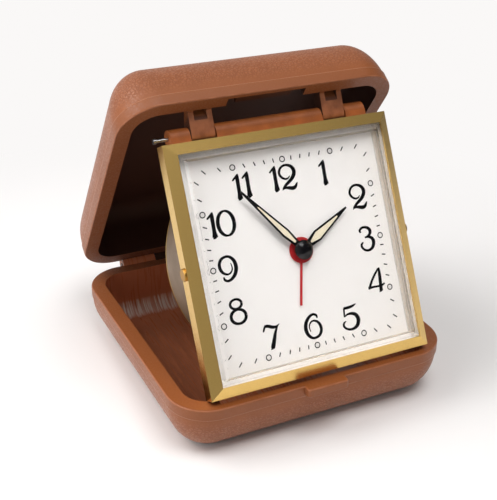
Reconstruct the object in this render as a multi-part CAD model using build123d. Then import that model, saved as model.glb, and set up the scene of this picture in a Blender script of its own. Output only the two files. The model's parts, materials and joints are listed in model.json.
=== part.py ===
from build123d import *
import math
import os

# Folding travel alarm clock, opened as it stands on a table.
# All lengths are in millimetres and all angles in degrees.
# The origin is the middle of the base's underside: X right, Y back, Z up.

# Case shells
case_side = 82.6
case_corner_radius = 11.4
rim_width = 4.3
rim_edge_radius = 0.5
band_height = 3.2
band_step = 0.25
side_curve_inset = 10.4
underside_flat = 0.05
base_height = 16.2
lid_height = 17.6
floor_thickness = 1.6
inside_corner_radius = 6.9
inside_floor_radius = 6.0

# Latch at the middle of the front walls
latch_centre_x = -0.4
latch_tab_width = 12.4
latch_tab_reach = 2.2
latch_tab_thickness = 2.6
latch_tab_corner = 0.9
latch_recess_width = 23.0
latch_recess_depth = 5.0
latch_wall = 1.4
catch_strip_width = 16.4
catch_strip_thickness = 0.9
catch_strip_drop = 1.2
catch_strip_reach = 3.6

# Case hinge behind the rear walls
hinge_axis_behind_wall = 1.64
hinge_axis_below_rim = 0.66
knuckle_radius = 2.3
hinge_half_length = 27.6
knuckle_count = 5
knuckle_gap = 0.3
knuckle_pocket_gap = 0.4
case_pin_radius = 0.6
pin_running_gap = 0.06

# Clock panel: a square frame that leans back between base and lid.
# The clock is drawn for a case of this side, and is scaled as one to suit another.
clock_drawn_for_case = 82.6
frame_side = 66.0
panel_middle_x = 0.3
panel_front_inset = 1.62
panel_bottom_above_rim = 1.74
frame_depth = 4.0
bezel_width = 3.0
bezel_rise = 2.0
bezel_sheet = 0.6
frame_seat_depth = 10.2
frame_seat_end_gap = 1.4
frame_seat_wall = 2.08

# Pips on the frame's side faces
pip_radius = 1.7
pip_height = 0.6
pip_edge_chamfer = 0.2
pip_depth_behind_arris = 1.85

# Crystal
crystal_edge_gap = 0.3
crystal_front = 3.2
crystal_chamfer = 1.5
crystal_wall = 1.2
crystal_face = 1.0
crystal_flange_reach = 1.9
crystal_flange_front = 0.5
crystal_flange_back = 2.1

# Dial
dial_inside_frame = 1.4
dial_front = 2.2
dial_thickness = 0.4
dial_hole_radius = 2.3
hour_dot_radius = 0.75
hour_dot_height = 0.05
minute_track_inset = 7.7
print_right_of_middle = 0.15
print_below_middle = 0.55
dial_hours = 12

# Movement case
drum_inside_frame = 1.4
movement_right_of_middle = 0.6
drum_wall = 0.6
drum_depth = 20.4
drum_flange_thickness = 0.7
drum_flange_edge_gap = 0.2
dial_back_gap = 0.1
cover_thickness = 0.6
cover_rim_height = 1.2
cover_fit_gap = 0.1

# Hinge between the clock panel and the lid
panel_pin_above_frame = 1.9
panel_pin_behind_arris = 6.7
panel_pin_inside_wall = 5.64
panel_pin_below_rim = 3.98
panel_pin_radius = 0.5
panel_pin_head_radius = 0.75
panel_pin_head_thickness = 0.7
panel_pin_inside_frame = 0.2
bar_radius = 2.4
bar_left_inset = 4.3
bar_right_inset = 3.5
lug_outer_inset = 9.8
lug_slot_width = 7.3
lug_side_gap = 0.3
lug_plate_thickness = 2.4
lug_root_radius = 1.3
lug_window_width = 3.7
lug_window_depth = 1.7
bar_rail_below_edge = 1.0
bar_rail_height = 3.4
bar_rail_thickness = 2.3
bar_rail_gap = 0.1
bar_drum_gap = 0.25
rail_screw_inset = 7.3
small_screw_radius = 0.7
small_screw_head_radius = 1.5
small_screw_head_thickness = 0.8
screw_slot_width = 0.4
screw_slot_depth = 0.35
screw_fit_gap = 0.05

# Movement plates and pillars
plate_edge_gap = 0.3
plate_thickness = 1.0
front_plate_depth = 6.0
back_plate_depth = 15.6
pillar_radius = 1.5
pillar_edge_inset = 5.8
pillar_count = 4
pillar_first_angle = 45.0
pillar_bore_depth = 3.2
screw_length_in_pillar = 2.8

# Hands, as read at eight minutes to two with the alarm set past six
minute_angle = -39.3
hour_angle = 59.6
alarm_angle = 192.2
hand_thickness = 0.3
minute_hand_depth = 0.15
hour_hand_depth = 0.75
alarm_hand_depth = 1.7
minute_hand_length = 23.4
minute_hand_width = 2.5
minute_hand_wide_at = 6.8
hour_hand_length = 17.6
hour_hand_width = 3.2
hour_hand_wide_at = 5.9
hand_neck_width = 1.1
hand_border = 0.52
hand_tip_width = 0.45
minute_lume_end = 17.3
hour_lume_end = 13.9
lume_start = 3.2
lume_depth = 0.08
hand_boss_radius = 2.3
hub_cap_radius = 2.65
hub_cap_height = 1.1
alarm_disc_radius = 3.5
alarm_hand_length = 14.8
alarm_hand_width = 0.62

# Motion work between the dial and the front plate
shaft_gap = 0.08
fixed_gap = 0.02
centre_arbor_radius = 0.6
cannon_wall = 0.42
hour_pipe_wall = 0.38
alarm_pipe_wall = 0.36
fine_module = 0.25
hour_module = 0.24
cannon_teeth = 12
minute_wheel_teeth = 36
minute_pinion_teeth = 10
hour_wheel_teeth = 40
alarm_wheel_teeth = 64
setting_pinion_teeth = 12
alarm_wheel_depth = 2.95
hour_wheel_depth = 3.85
minute_wheel_depth = 4.8
wheel_thickness = 0.5
minute_wheel_angle = 30.0
time_setting_angle = 40.0
alarm_setting_angle = 140.0
setting_stem_radius = 0.7
setting_knob_radius = 3.1
setting_knob_height = 3.2
setting_knob_flutes = 14
flute_radius = 0.45
knob_cover_gap = 0.4

# Going train between the plates
train_module = 0.35
centre_module = 0.3
third_module = 0.25
great_wheel_teeth = 60
centre_pinion_teeth = 10
centre_wheel_teeth = 48
third_pinion_teeth = 8
third_wheel_teeth = 48
escape_pinion_teeth = 8
escape_teeth = 15
escape_tip_radius = 4.2
escape_root_radius = 3.1
time_barrel_angle = 210.0
alarm_barrel_angle = 330.0
third_angle = 80.0
escape_angle = 60.0
centre_wheel_depth = 7.6
third_wheel_depth = 10.0
great_wheel_depth = 12.7
great_wheel_thickness = 0.8
escape_wheel_depth = 13.0
train_arbor_radius = 0.5
spoke_count = 4
spoke_width = 0.9

# Barrels and mainsprings
barrel_radius = 9.5
barrel_front_depth = 9.1
barrel_wall = 0.6
mainspring_thickness = 0.22
mainspring_turns = 9
mainspring_inner_radius = 2.4
mainspring_pitch = 0.68
mainspring_height = 2.0
mainspring_depth = 10.0
winding_arbor_radius = 1.3

# Winding work behind the back plate
ratchet_teeth = 24
ratchet_tip_radius = 5.0
ratchet_root_radius = 4.3
ratchet_depth = 17.1
ratchet_thickness = 0.7
click_distance = 6.6
click_angle = 270.0
click_length = 3.4
click_width = 1.2
click_pivot_radius = 0.6
key_hub_radius = 2.0
key_hub_length = 1.6
key_wing_length = 11.0
key_wing_thickness = 1.2
key_wing_height = 3.0
key_cover_gap = 0.5

# Escapement
pallet_distance = 5.6
pallet_angle = 170.0
pallet_lever_depth = 13.8
pallet_lever_thickness = 0.35
pallet_pin_radius = 0.18
pallet_pin_gap = 0.25
pallet_span_angle = 42.0
balance_distance = 6.5
balance_angle = 175.0
balance_radius = 5.6
balance_rim_width = 1.0
balance_depth = 14.45
balance_thickness = 0.7
balance_staff_radius = 0.3
roller_radius = 1.0
fork_gap = 0.35
lever_width = 0.8
hairspring_depth = 8.2
hairspring_height = 0.4
hairspring_turns = 7
hairspring_pitch = 0.55
hairspring_thickness = 0.12
hairspring_inner_radius = 0.75
regulator_depth = 16.9
regulator_thickness = 0.4
regulator_hub_radius = 1.9
regulator_arm_length = 5.6
regulator_arm_angle = 90.0
regulator_finger_radius = 0.5
regulator_finger_reach = 1.6
regulator_swing = 18.0

# Alarm train, hammer and stop button
alarm_train_module = 0.4
alarm_great_teeth = 50
strike_pinion_teeth = 8
strike_wheel_teeth = 12
strike_tip_radius = 3.4
strike_root_radius = 2.4
strike_angle = 50.0
strike_wheel_depth = 8.0
alarm_great_depth = 13.9
hammer_distance = 5.1
hammer_angle = -25.0
hammer_arm_length = 8.6
hammer_arm_angle = -90.0
hammer_arm_width = 1.0
hammer_arm_depth = 17.3
hammer_arm_thickness = 0.6
hammer_head_radius = 1.4
hammer_head_height = 1.6
hammer_verge_reach = 1.2
bell_post_radius = 0.9
bell_post_gap = 0.35
bell_post_height = 2.6
stop_button_x = 13.0
stop_button_y = 13.5
stop_button_radius = 2.0
stop_button_reach = 2.6
stop_button_stem_radius = 0.8
stop_button_stem_end = 18.3
stop_button_collar_radius = 2.8
stop_button_collar_thickness = 0.5
cover_hole_gap = 0.3

# One overrun serves every cut
overrun = 1.0


# Derived places
half_case = case_side / 2
hinge_y = half_case + hinge_axis_behind_wall
hinge_z = base_height - hinge_axis_below_rim
half_frame = frame_side / 2
frame_middle = (0.0, half_frame)
hub = (movement_right_of_middle, half_frame)
print_middle = (print_right_of_middle, half_frame - print_below_middle)
clock_share = case_side / clock_drawn_for_case
dial_side = frame_side - 2 * dial_inside_frame
minute_track_half_side = half_frame - minute_track_inset
drum_radius = half_frame - drum_inside_frame
plate_radius = drum_radius - drum_wall - plate_edge_gap
pillar_circle_radius = plate_radius - pillar_edge_inset
panel_pin_height = frame_side + panel_pin_above_frame
panel_pin_left_reach = half_frame - panel_pin_inside_frame
bar_left = bar_left_inset - half_frame
bar_right = half_frame - bar_right_inset
lug_outer_edge = half_frame - lug_outer_inset
lug_inner_edge = lug_outer_edge - lug_slot_width
bar_rail_top = frame_side - bar_rail_below_edge
bar_rail_bottom = bar_rail_top - bar_rail_height
rail_screw_x = half_frame - rail_screw_inset
rail_screw_height = (bar_rail_top + bar_rail_bottom) / 2
front_up = (Align.CENTER, Align.CENTER, Align.MIN)
cannon_radius = centre_arbor_radius + shaft_gap + cannon_wall
hour_pipe_bore = cannon_radius + shaft_gap
hour_pipe_radius = hour_pipe_bore + hour_pipe_wall
alarm_pipe_bore = hour_pipe_radius + shaft_gap
alarm_pipe_radius = alarm_pipe_bore + alarm_pipe_wall
front_plate_back = front_plate_depth + plate_thickness
back_plate_back = back_plate_depth + plate_thickness
cover_back = drum_depth + cover_thickness


def corner_angle(opposite, one, other):
    """The angle of a triangle between two sides, facing the opposite one."""
    cosine = (one**2 + other**2 - opposite**2) / (2 * one * other)
    return math.degrees(math.acos(cosine))


# The stand is a triangle of the panel's foot, the case hinge and the panel's pin,
# so the lid's opening and the panel's lean follow from the sizes
panel_y = -half_case + panel_front_inset
panel_z = base_height + panel_bottom_above_rim
pin_closed_y = -half_case + rim_width + panel_pin_inside_wall
pin_closed_z = base_height - panel_pin_below_rim
foot_span = math.hypot(hinge_y - panel_y, hinge_z - panel_z)
lid_span = math.hypot(hinge_y - pin_closed_y, hinge_z - pin_closed_z)
panel_span = clock_share * math.hypot(panel_pin_height, panel_pin_behind_arris)
foot_slope = math.degrees(math.atan2(hinge_z - panel_z, hinge_y - panel_y))
closed_slope = math.degrees(math.atan2(hinge_z - pin_closed_z, hinge_y - pin_closed_y))
pin_slope = math.degrees(math.atan2(panel_pin_behind_arris, panel_pin_height))
lid_opening_angle = corner_angle(panel_span, foot_span, lid_span) + closed_slope - foot_slope
panel_rise_angle = corner_angle(lid_span, foot_span, panel_span) + foot_slope + pin_slope
panel_place = Location((panel_middle_x, panel_y, panel_z), (panel_rise_angle, 0, 0))
closed_to_hinge = Location((0, -hinge_y, -hinge_z))
lid_turn = Location((0, hinge_y, hinge_z), (-lid_opening_angle, 0, 0))
lid_place = lid_turn * closed_to_hinge


def pitch_radius(teeth, module):
    return teeth * module / 2


def polar(centre, distance, angle):
    turn = math.radians(angle)
    return (centre[0] + distance * math.cos(turn), centre[1] + distance * math.sin(turn))


def meshed_phase(teeth, phase, other_teeth, direction):
    """Angle of a tooth of the other wheel that meshes along the direction."""
    return direction + 180 + 180 / other_teeth + (direction - phase) * teeth / other_teeth


# Centres of the wheels, seen from the front of the dial
minute_wheel_distance = pitch_radius(cannon_teeth + minute_wheel_teeth, fine_module)
minute_wheel_at = polar(hub, minute_wheel_distance, minute_wheel_angle)
time_stem_distance = pitch_radius(minute_wheel_teeth + setting_pinion_teeth, fine_module)
time_stem_at = polar(minute_wheel_at, time_stem_distance, time_setting_angle)
alarm_stem_distance = pitch_radius(alarm_wheel_teeth + setting_pinion_teeth, fine_module)
alarm_stem_at = polar(hub, alarm_stem_distance, alarm_setting_angle)
barrel_distance = pitch_radius(great_wheel_teeth + centre_pinion_teeth, train_module)
time_barrel_at = polar(hub, barrel_distance, time_barrel_angle)
alarm_barrel_at = polar(hub, barrel_distance, alarm_barrel_angle)
third_distance = pitch_radius(centre_wheel_teeth + third_pinion_teeth, centre_module)
third_at = polar(hub, third_distance, third_angle)
escape_distance = pitch_radius(third_wheel_teeth + escape_pinion_teeth, third_module)
escape_at = polar(third_at, escape_distance, escape_angle)
pallet_at = polar(escape_at, pallet_distance, pallet_angle)
balance_at = polar(pallet_at, balance_distance, balance_angle)
strike_distance = pitch_radius(alarm_great_teeth + strike_pinion_teeth, alarm_train_module)
strike_at = polar(alarm_barrel_at, strike_distance, strike_angle)
hammer_at = polar(strike_at, hammer_distance, hammer_angle)
hammer_head_at = polar(hammer_at, hammer_arm_length, hammer_arm_angle)
bell_post_distance = hammer_head_radius + bell_post_gap + bell_post_radius
bell_post_at = (hammer_head_at[0] - bell_post_distance, hammer_head_at[1])
stop_button_at = (hub[0] + stop_button_x, hub[1] + stop_button_y)
pillar_places = [
    polar(hub, pillar_circle_radius, pillar_first_angle + number * 360 / pillar_count)
    for number in range(pillar_count)
]

# Meshing phases
cannon_phase = minute_wheel_angle
minute_wheel_phase = meshed_phase(
    cannon_teeth, cannon_phase, minute_wheel_teeth, minute_wheel_angle
)
time_stem_phase = meshed_phase(
    minute_wheel_teeth, minute_wheel_phase, setting_pinion_teeth, time_setting_angle
)
hour_wheel_phase = minute_wheel_angle
minute_pinion_phase = meshed_phase(
    hour_wheel_teeth, hour_wheel_phase, minute_pinion_teeth, minute_wheel_angle
)
alarm_wheel_phase = alarm_setting_angle
alarm_stem_phase = meshed_phase(
    alarm_wheel_teeth, alarm_wheel_phase, setting_pinion_teeth, alarm_setting_angle
)
centre_pinion_phase = time_barrel_angle
great_wheel_phase = meshed_phase(
    centre_pinion_teeth, centre_pinion_phase, great_wheel_teeth, time_barrel_angle
)
centre_wheel_phase = third_angle
third_pinion_phase = meshed_phase(
    centre_wheel_teeth, centre_wheel_phase, third_pinion_teeth, third_angle
)
third_wheel_phase = escape_angle
escape_pinion_phase = meshed_phase(
    third_wheel_teeth, third_wheel_phase, escape_pinion_teeth, escape_angle
)
alarm_great_phase = strike_angle
strike_pinion_phase = meshed_phase(
    alarm_great_teeth, alarm_great_phase, strike_pinion_teeth, strike_angle
)


# Small shapes shared by many pieces, in the panel's own frame:
# X right, Y up the dial, Z toward the viewer, depths counted back from the frame's arris

def rod(at, radius, front, back):
    return Pos(at[0], at[1], -back) * Cylinder(radius, back - front, align=front_up)


def tube(at, outer, inner, front, back):
    bore = rod(at, inner, front - overrun, back + overrun)
    return rod(at, outer, front, back) - bore


def slab(outline, front, thickness):
    return Pos(0, 0, -(front + thickness)) * extrude(outline, amount=thickness)


def polygon_face(points):
    return make_face(Polyline(*points, close=True))


def gear_outline(at, teeth, module, phase):
    """Straight-sided teeth, narrower than their gaps so that a pair runs free."""
    radius = pitch_radius(teeth, module)
    step = 360 / teeth
    levels = [
        (radius - root_depth_share * module, root_half_share),
        (radius, pitch_half_share),
        (radius + tip_height_share * module, tip_half_share),
    ]
    points = []
    for number in range(teeth):
        middle = phase + number * step
        for level, half in levels:
            points.append(polar(at, level, middle - half * step))
        for level, half in reversed(levels):
            points.append(polar(at, level, middle + half * step))
    return polygon_face(points)


root_depth_share = 1.15
tip_height_share = 0.8
root_half_share = 0.27
pitch_half_share = 0.2
tip_half_share = 0.08


def saw_outline(at, teeth, tip, root, phase, lean):
    points = []
    step = 360 / teeth
    for number in range(teeth):
        middle = phase + number * step
        points.append(polar(at, root, middle))
        points.append(polar(at, tip, middle + lean * step))
    return polygon_face(points)


def gear(at, teeth, module, phase, front, thickness):
    return slab(gear_outline(at, teeth, module, phase), front, thickness)


def spoke_windows(at, inner, outer, front, thickness):
    """The openings between a wheel's spokes."""
    ring = tube(at, outer, inner, front - overrun, front + thickness + overrun)
    for number in range(spoke_count // 2):
        turn = number * 360 / spoke_count
        bar = Box(2 * outer + overrun, spoke_width, thickness + 4 * overrun)
        ring -= Pos(at[0], at[1], -front) * Rot(0, 0, turn) * bar
    return ring


def ribbon(at, inner, pitch, turns, thickness, front, height):
    """A spiral strip made of half-circle arcs, each a little wider than the last."""
    edges = []
    radius = inner
    side = 1
    centre_x = 0.0
    for number in range(2 * turns):
        start = (centre_x + side * radius, 0.0)
        middle = (centre_x, side * radius)
        end = (centre_x - side * radius, 0.0)
        edges.append(ThreePointArc(start, middle, end))
        radius += pitch / 2
        centre_x += side * pitch / 2
        side = -side
    spine = Wire(edges)
    line = offset(spine, amount=thickness / 2, side=Side.BOTH, kind=Kind.ARC)
    face = make_face(line)
    return slab(Pos(at[0], at[1]) * face, front, height)


def screw(at, head_front, length, toward):
    """A slotted cheese-head screw; toward is +1 when the head faces the viewer."""
    head = Cylinder(small_screw_head_radius, small_screw_head_thickness, align=front_up)
    slot_length = 2 * small_screw_head_radius + overrun
    slot = Box(slot_length, screw_slot_width, 2 * screw_slot_depth)
    head -= Pos(0, 0, small_screw_head_thickness) * slot
    shank = Pos(0, 0, -length) * Cylinder(small_screw_radius, length, align=front_up)
    piece = head + shank
    if toward < 0:
        piece = Rot(180, 0, 0) * piece
    return Pos(at[0], at[1], -head_front) * piece


# Case shells, drawn with the rim up at z = height and turned over for the lid

def shell_body(height):
    """A rounded square dish: vertical band at the rim, sides curving in below it."""
    curve_height = height - band_height + underside_flat
    stretch = curve_height / side_curve_inset
    inner_side = case_side - 2 * band_step
    corner = case_corner_radius - band_step
    block_height = (height + underside_flat) / stretch
    block = extrude(RectangleRounded(inner_side, inner_side, corner), amount=block_height)
    lower_edges = block.edges().group_by(Axis.Z)[0]
    block = fillet(lower_edges, side_curve_inset)
    block = Pos(0, 0, -underside_flat) * scale(block, by=(1, 1, stretch))
    block -= Pos(0, 0, -case_side) * extrude(Rectangle(case_side, case_side), amount=case_side)
    band = extrude(RectangleRounded(case_side, case_side, case_corner_radius), amount=band_height)
    band = fillet(band.edges().group_by(Axis.Z)[-1], rim_edge_radius)
    return block + Pos(0, 0, height - band_height) * band


def shell_cavity(height):
    side = case_side - 2 * rim_width
    depth = height - floor_thickness
    block = extrude(RectangleRounded(side, side, inside_corner_radius), amount=depth + overrun)
    block = fillet(block.edges().group_by(Axis.Z)[0], inside_floor_radius)
    return Pos(0, 0, floor_thickness) * block


def open_shell(height):
    return shell_body(height) - shell_cavity(height)


def knuckle_spans(numbers):
    length = 2 * hinge_half_length / knuckle_count
    spans = []
    for number in numbers:
        left = -hinge_half_length + number * length + knuckle_gap / 2
        spans.append((left, left + length - knuckle_gap))
    return spans


def along_x(radius, left, right, y, z):
    rod_x = Cylinder(radius, right - left, align=front_up)
    return Pos(left, y, z) * Rot(0, 90, 0) * rod_x


def hinge_block(left, right, depth, low, high):
    """A block of a knuckle's web, from the hinge axis toward the shell's wall."""
    block = Box(right - left, depth, high - low)
    return Pos((left + right) / 2, hinge_y - depth / 2, (low + high) / 2) * block


def base_knuckle(left, right):
    """A round knuckle with a web down into the base's wall."""
    web_depth = hinge_axis_behind_wall + rim_width / 2
    web_low = hinge_z - knuckle_radius - hinge_axis_below_rim
    web = hinge_block(left, right, web_depth, web_low, hinge_z)
    return along_x(knuckle_radius, left, right, hinge_y, hinge_z) + web


def lid_knuckle(left, right):
    """A round knuckle below the lid's rim, on a neck that widens into the lid's wall."""
    web_depth = hinge_axis_behind_wall + rim_width / 2
    web_high = base_height + knuckle_radius
    neck = hinge_block(left, right, hinge_axis_behind_wall, hinge_z, web_high)
    web = hinge_block(left, right, web_depth, base_height, web_high)
    return along_x(knuckle_radius, left, right, hinge_y, hinge_z) + neck + web


def hinge_knuckles(numbers, make_knuckle):
    group = None
    for left, right in knuckle_spans(numbers):
        piece = make_knuckle(left, right)
        group = piece if group is None else group + piece
    return group


def knuckle_pockets(numbers):
    group = None
    for left, right in knuckle_spans(numbers):
        radius = knuckle_radius + knuckle_pocket_gap
        start = left - knuckle_gap
        piece = along_x(radius, start, right + knuckle_gap, hinge_y, hinge_z)
        group = piece if group is None else group + piece
    return group


def case_pin_bore():
    reach = hinge_half_length + overrun
    return along_x(case_pin_radius + pin_running_gap, -reach, reach, hinge_y, hinge_z)


base_knuckle_numbers = list(range(0, knuckle_count, 2))
lid_knuckle_numbers = list(range(1, knuckle_count, 2))


def latch_tab():
    """The thumb tab on the front of the base, level with the rim."""
    depth = latch_tab_reach + rim_width / 2
    tab = Box(latch_tab_width, depth, latch_tab_thickness)
    tab = fillet(tab.edges().filter_by(Axis.Z).group_by(Axis.Y)[0], latch_tab_corner)
    tab = fillet(tab.edges().group_by(Axis.Y)[0].filter_by(Axis.X), rim_edge_radius)
    y = -half_case - latch_tab_reach + depth / 2
    return Pos(latch_centre_x, y, base_height - latch_tab_thickness / 2) * tab


def frame_seat_cut():
    """The thinned stretch of the front wall that the clock's hinge bar folds past."""
    depth = rim_width - frame_seat_wall + overrun
    left = clock_share * bar_left - frame_seat_end_gap
    right = clock_share * bar_right + frame_seat_end_gap
    cut = Box(right - left, depth, frame_seat_depth + overrun)
    y = -half_case + frame_seat_wall + depth / 2
    z = base_height - frame_seat_depth + (frame_seat_depth + overrun) / 2
    return Pos(panel_middle_x + (left + right) / 2, y, z) * cut


def make_base_shell():
    shell = open_shell(base_height) - frame_seat_cut()
    shell += latch_tab()
    shell -= knuckle_pockets(lid_knuckle_numbers)
    shell += hinge_knuckles(base_knuckle_numbers, base_knuckle)
    return shell - case_pin_bore()


def make_case_hinge_pin():
    return along_x(case_pin_radius, -hinge_half_length, hinge_half_length, hinge_y, hinge_z)


def lug_profile():
    """Side view of a lug: root in the lid's rim, leg slanting to the eye."""
    eye = Pos(pin_closed_y, pin_closed_z) * Circle(clock_share * bar_radius)
    root_y = -half_case + rim_width + lug_root_radius
    root_z = base_height + lug_root_radius
    root = Pos(root_y, root_z) * Circle(lug_root_radius)
    leg = make_hull(eye.edges() + root.edges())
    plate_depth = rim_width / 2 + lug_root_radius
    plate = Rectangle(plate_depth, lug_plate_thickness)
    plate_y = root_y - plate_depth / 2
    plate = Pos(plate_y, base_height + lug_plate_thickness / 2) * plate
    return leg + plate


def lug(middle):
    width = clock_share * lug_slot_width - 2 * lug_side_gap
    side = Plane.YZ.offset(middle - width / 2)
    body = extrude(side * lug_profile(), amount=width)
    window = Box(lug_window_width, lug_window_depth, 4 * lug_plate_thickness)
    window_y = -half_case + rim_width + lug_window_depth / 2
    body -= Pos(middle, window_y, base_height + lug_plate_thickness) * window
    reach = width
    bore_radius = clock_share * panel_pin_radius + pin_running_gap
    bore = along_x(bore_radius, middle - reach, middle + reach, pin_closed_y, pin_closed_z)
    return body - bore


def latch_recess():
    depth = rim_width - latch_wall + overrun
    cut = Box(latch_recess_width, depth, latch_recess_depth + overrun)
    y = -half_case + latch_wall + depth / 2
    z = base_height + (latch_recess_depth - overrun) / 2
    return Pos(latch_centre_x, y, z) * cut


def turned_lid_shell():
    """The shell turned over, so that its rim meets the base's rim."""
    shell = open_shell(lid_height)
    return Pos(0, 0, base_height + lid_height) * Rot(180, 0, 0) * shell


def make_lid_shell():
    lug_reach = clock_share * (lug_inner_edge + lug_outer_edge) / 2
    shell = turned_lid_shell() - latch_recess()
    shell -= knuckle_pockets(base_knuckle_numbers)
    shell += hinge_knuckles(lid_knuckle_numbers, lid_knuckle)
    shell -= case_pin_bore()
    return shell + lug(panel_middle_x - lug_reach) + lug(panel_middle_x + lug_reach)


def make_catch_strip():
    """The strip in the lid's recess that the base's front edge snaps past."""
    strip = Box(catch_strip_width, catch_strip_reach, catch_strip_thickness)
    y = -half_case + latch_wall + catch_strip_reach / 2
    z = base_height + catch_strip_drop + catch_strip_thickness / 2
    return Pos(latch_centre_x, y, z) * strip


# Front frame, crystal and dial

def square(side):
    return Pos(frame_middle[0], frame_middle[1]) * Rectangle(side, side)


def tapered_square(back_side, front_side, back_z, front_z):
    low = Pos(0, 0, back_z) * square(back_side)
    high = Pos(0, 0, front_z) * square(front_side)
    return loft([low, high], ruled=True)


def make_bezel():
    opening = frame_side - 2 * bezel_width
    outer = slab(square(frame_side), 0, frame_depth)
    outer += tapered_square(frame_side, opening, 0, bezel_rise)
    inner_side = frame_side - 2 * bezel_sheet
    inner = slab(square(inner_side), 0, frame_depth + overrun)
    inner_front = bezel_rise * (1 - 2 * bezel_sheet / (frame_side - opening))
    inner = Pos(0, 0, -bezel_sheet / 2) * inner
    lip_side = opening + 2 * bezel_sheet
    inner += tapered_square(inner_side, lip_side, -bezel_sheet / 2, inner_front - bezel_sheet / 2)
    hole = slab(square(opening), -bezel_rise - overrun, bezel_rise + frame_depth)
    return outer - inner - hole


def make_side_pips():
    """Two small studs, one at the middle of each side face."""
    half = frame_side / 2
    left = Pos(-half, frame_middle[1], -pip_depth_behind_arris)
    right = Pos(half, frame_middle[1], -pip_depth_behind_arris)
    stud = Cylinder(pip_radius, pip_height, align=front_up)
    stud = chamfer(stud.edges().group_by(Axis.Z)[-1], pip_edge_chamfer)
    return [left * Rot(0, -90, 0) * stud, right * Rot(0, 90, 0) * stud]


def make_crystal():
    side = frame_side - 2 * bezel_width - 2 * crystal_edge_gap
    box = slab(square(side), -crystal_front, crystal_front + crystal_flange_back)
    box = chamfer(box.edges().group_by(Axis.Z)[-1], crystal_chamfer)
    flange_depth = crystal_flange_back - crystal_flange_front
    flange = slab(square(side + 2 * crystal_flange_reach), crystal_flange_front, flange_depth)
    inside = side - 2 * crystal_wall
    cavity_front = crystal_front - crystal_face
    cavity_depth = cavity_front + crystal_flange_back + overrun
    cavity = slab(square(inside), -cavity_front, cavity_depth)
    cavity = chamfer(cavity.edges().group_by(Axis.Z)[-1], crystal_chamfer / 2)
    return box + flange - cavity


def make_dial():
    sheet = slab(square(dial_side), dial_front, dial_thickness)
    back = dial_front + dial_thickness + overrun
    return sheet - rod(hub, dial_hole_radius, dial_front - overrun, back)


def track_point(angle):
    """The place on the square minute track at a clock angle from twelve."""
    turn = math.radians(angle)
    across = math.sin(turn)
    up = math.cos(turn)
    reach = minute_track_half_side / max(abs(across), abs(up))
    return (print_middle[0] + reach * across, print_middle[1] + reach * up)


def make_hour_dots():
    dots = []
    for number in range(dial_hours):
        at = track_point(number * 360 / dial_hours)
        dots.append(rod(at, hour_dot_radius, dial_front - hour_dot_height, dial_front))
    return dots


# Hands

def hand_outline(length, width, wide_at, start):
    half = width / 2
    neck = hand_neck_width / 2
    tip = hand_tip_width / 2
    left = [(-neck, start), (-half, wide_at), (-tip, length)]
    right = [(tip, length), (half, wide_at), (neck, start)]
    return left + right


def lume_outline(length, width, wide_at, end):
    """The window inside a hand's dark border."""
    half = width / 2 - hand_border
    full = length - wide_at
    end_half = half * (length - end) / full
    neck = hand_neck_width / 2 - hand_border / 2
    return [
        (-neck, lume_start),
        (-half, wide_at),
        (-end_half / 2, end),
        (end_half / 2, end),
        (half, wide_at),
        (neck, lume_start),
    ]


def turned_face(points, angle):
    face = polygon_face(points)
    return Pos(hub[0], hub[1]) * Rot(0, 0, -angle) * face


def make_hand(length, width, wide_at, end, angle, depth, bore):
    blade = slab(turned_face(hand_outline(length, width, wide_at, 0), angle), depth, hand_thickness)
    boss = rod(hub, hand_boss_radius, depth, depth + hand_thickness)
    window = turned_face(lume_outline(length, width, wide_at, end), angle)
    window = slab(window, depth - overrun, overrun + lume_depth)
    hole = rod(hub, bore, depth - overrun, depth + hand_thickness + overrun)
    return blade + boss - window - hole


def make_lume(length, width, wide_at, end, angle, depth):
    face = turned_face(lume_outline(length, width, wide_at, end), angle)
    return slab(face, depth, lume_depth)


minute_sizes = (minute_hand_length, minute_hand_width, minute_hand_wide_at, minute_lume_end)
hour_sizes = (hour_hand_length, hour_hand_width, hour_hand_wide_at, hour_lume_end)


def make_minute_hand():
    bore = cannon_radius + fixed_gap
    return make_hand(*minute_sizes, minute_angle, minute_hand_depth, bore)


def make_hour_hand():
    bore = hour_pipe_radius + fixed_gap
    return make_hand(*hour_sizes, hour_angle, hour_hand_depth, bore)


def make_hub_cap():
    """A domed cap: the top of a ball whose radius follows from cap radius and height."""
    ball = (hub_cap_radius**2 + hub_cap_height**2) / (2 * hub_cap_height)
    sphere = Pos(hub[0], hub[1], hub_cap_height - ball - minute_hand_depth) * Sphere(ball)
    keep = rod(hub, hub_cap_radius, -hub_cap_height + minute_hand_depth, minute_hand_depth)
    return sphere & keep


def make_alarm_hand():
    disc = tube(
        hub,
        alarm_disc_radius,
        alarm_pipe_radius + fixed_gap,
        alarm_hand_depth,
        alarm_hand_depth + hand_thickness,
    )
    half = alarm_hand_width / 2
    inner = alarm_disc_radius - hand_border
    points = [(-half, inner), (-half, alarm_hand_length), (half, alarm_hand_length), (half, inner)]
    return disc + slab(turned_face(points, alarm_angle), alarm_hand_depth, hand_thickness)


# Motion work and setting stems

def make_cannon_pinion():
    back = minute_wheel_depth + wheel_thickness + wheel_thickness / 2
    pipe = rod(hub, cannon_radius, minute_hand_depth, back)
    teeth = gear(
        hub, cannon_teeth, fine_module, cannon_phase, minute_wheel_depth, back - minute_wheel_depth
    )
    bore_radius = centre_arbor_radius + shaft_gap
    return pipe + teeth - rod(hub, bore_radius, -overrun, back + overrun)


def make_hour_wheel():
    wheel = gear(
        hub, hour_wheel_teeth, hour_module, hour_wheel_phase, hour_wheel_depth, wheel_thickness
    )
    back = hour_wheel_depth + wheel_thickness
    pipe = rod(hub, hour_pipe_radius, hour_hand_depth, back)
    return wheel + pipe - rod(hub, hour_pipe_bore, -overrun, back + overrun)


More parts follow.
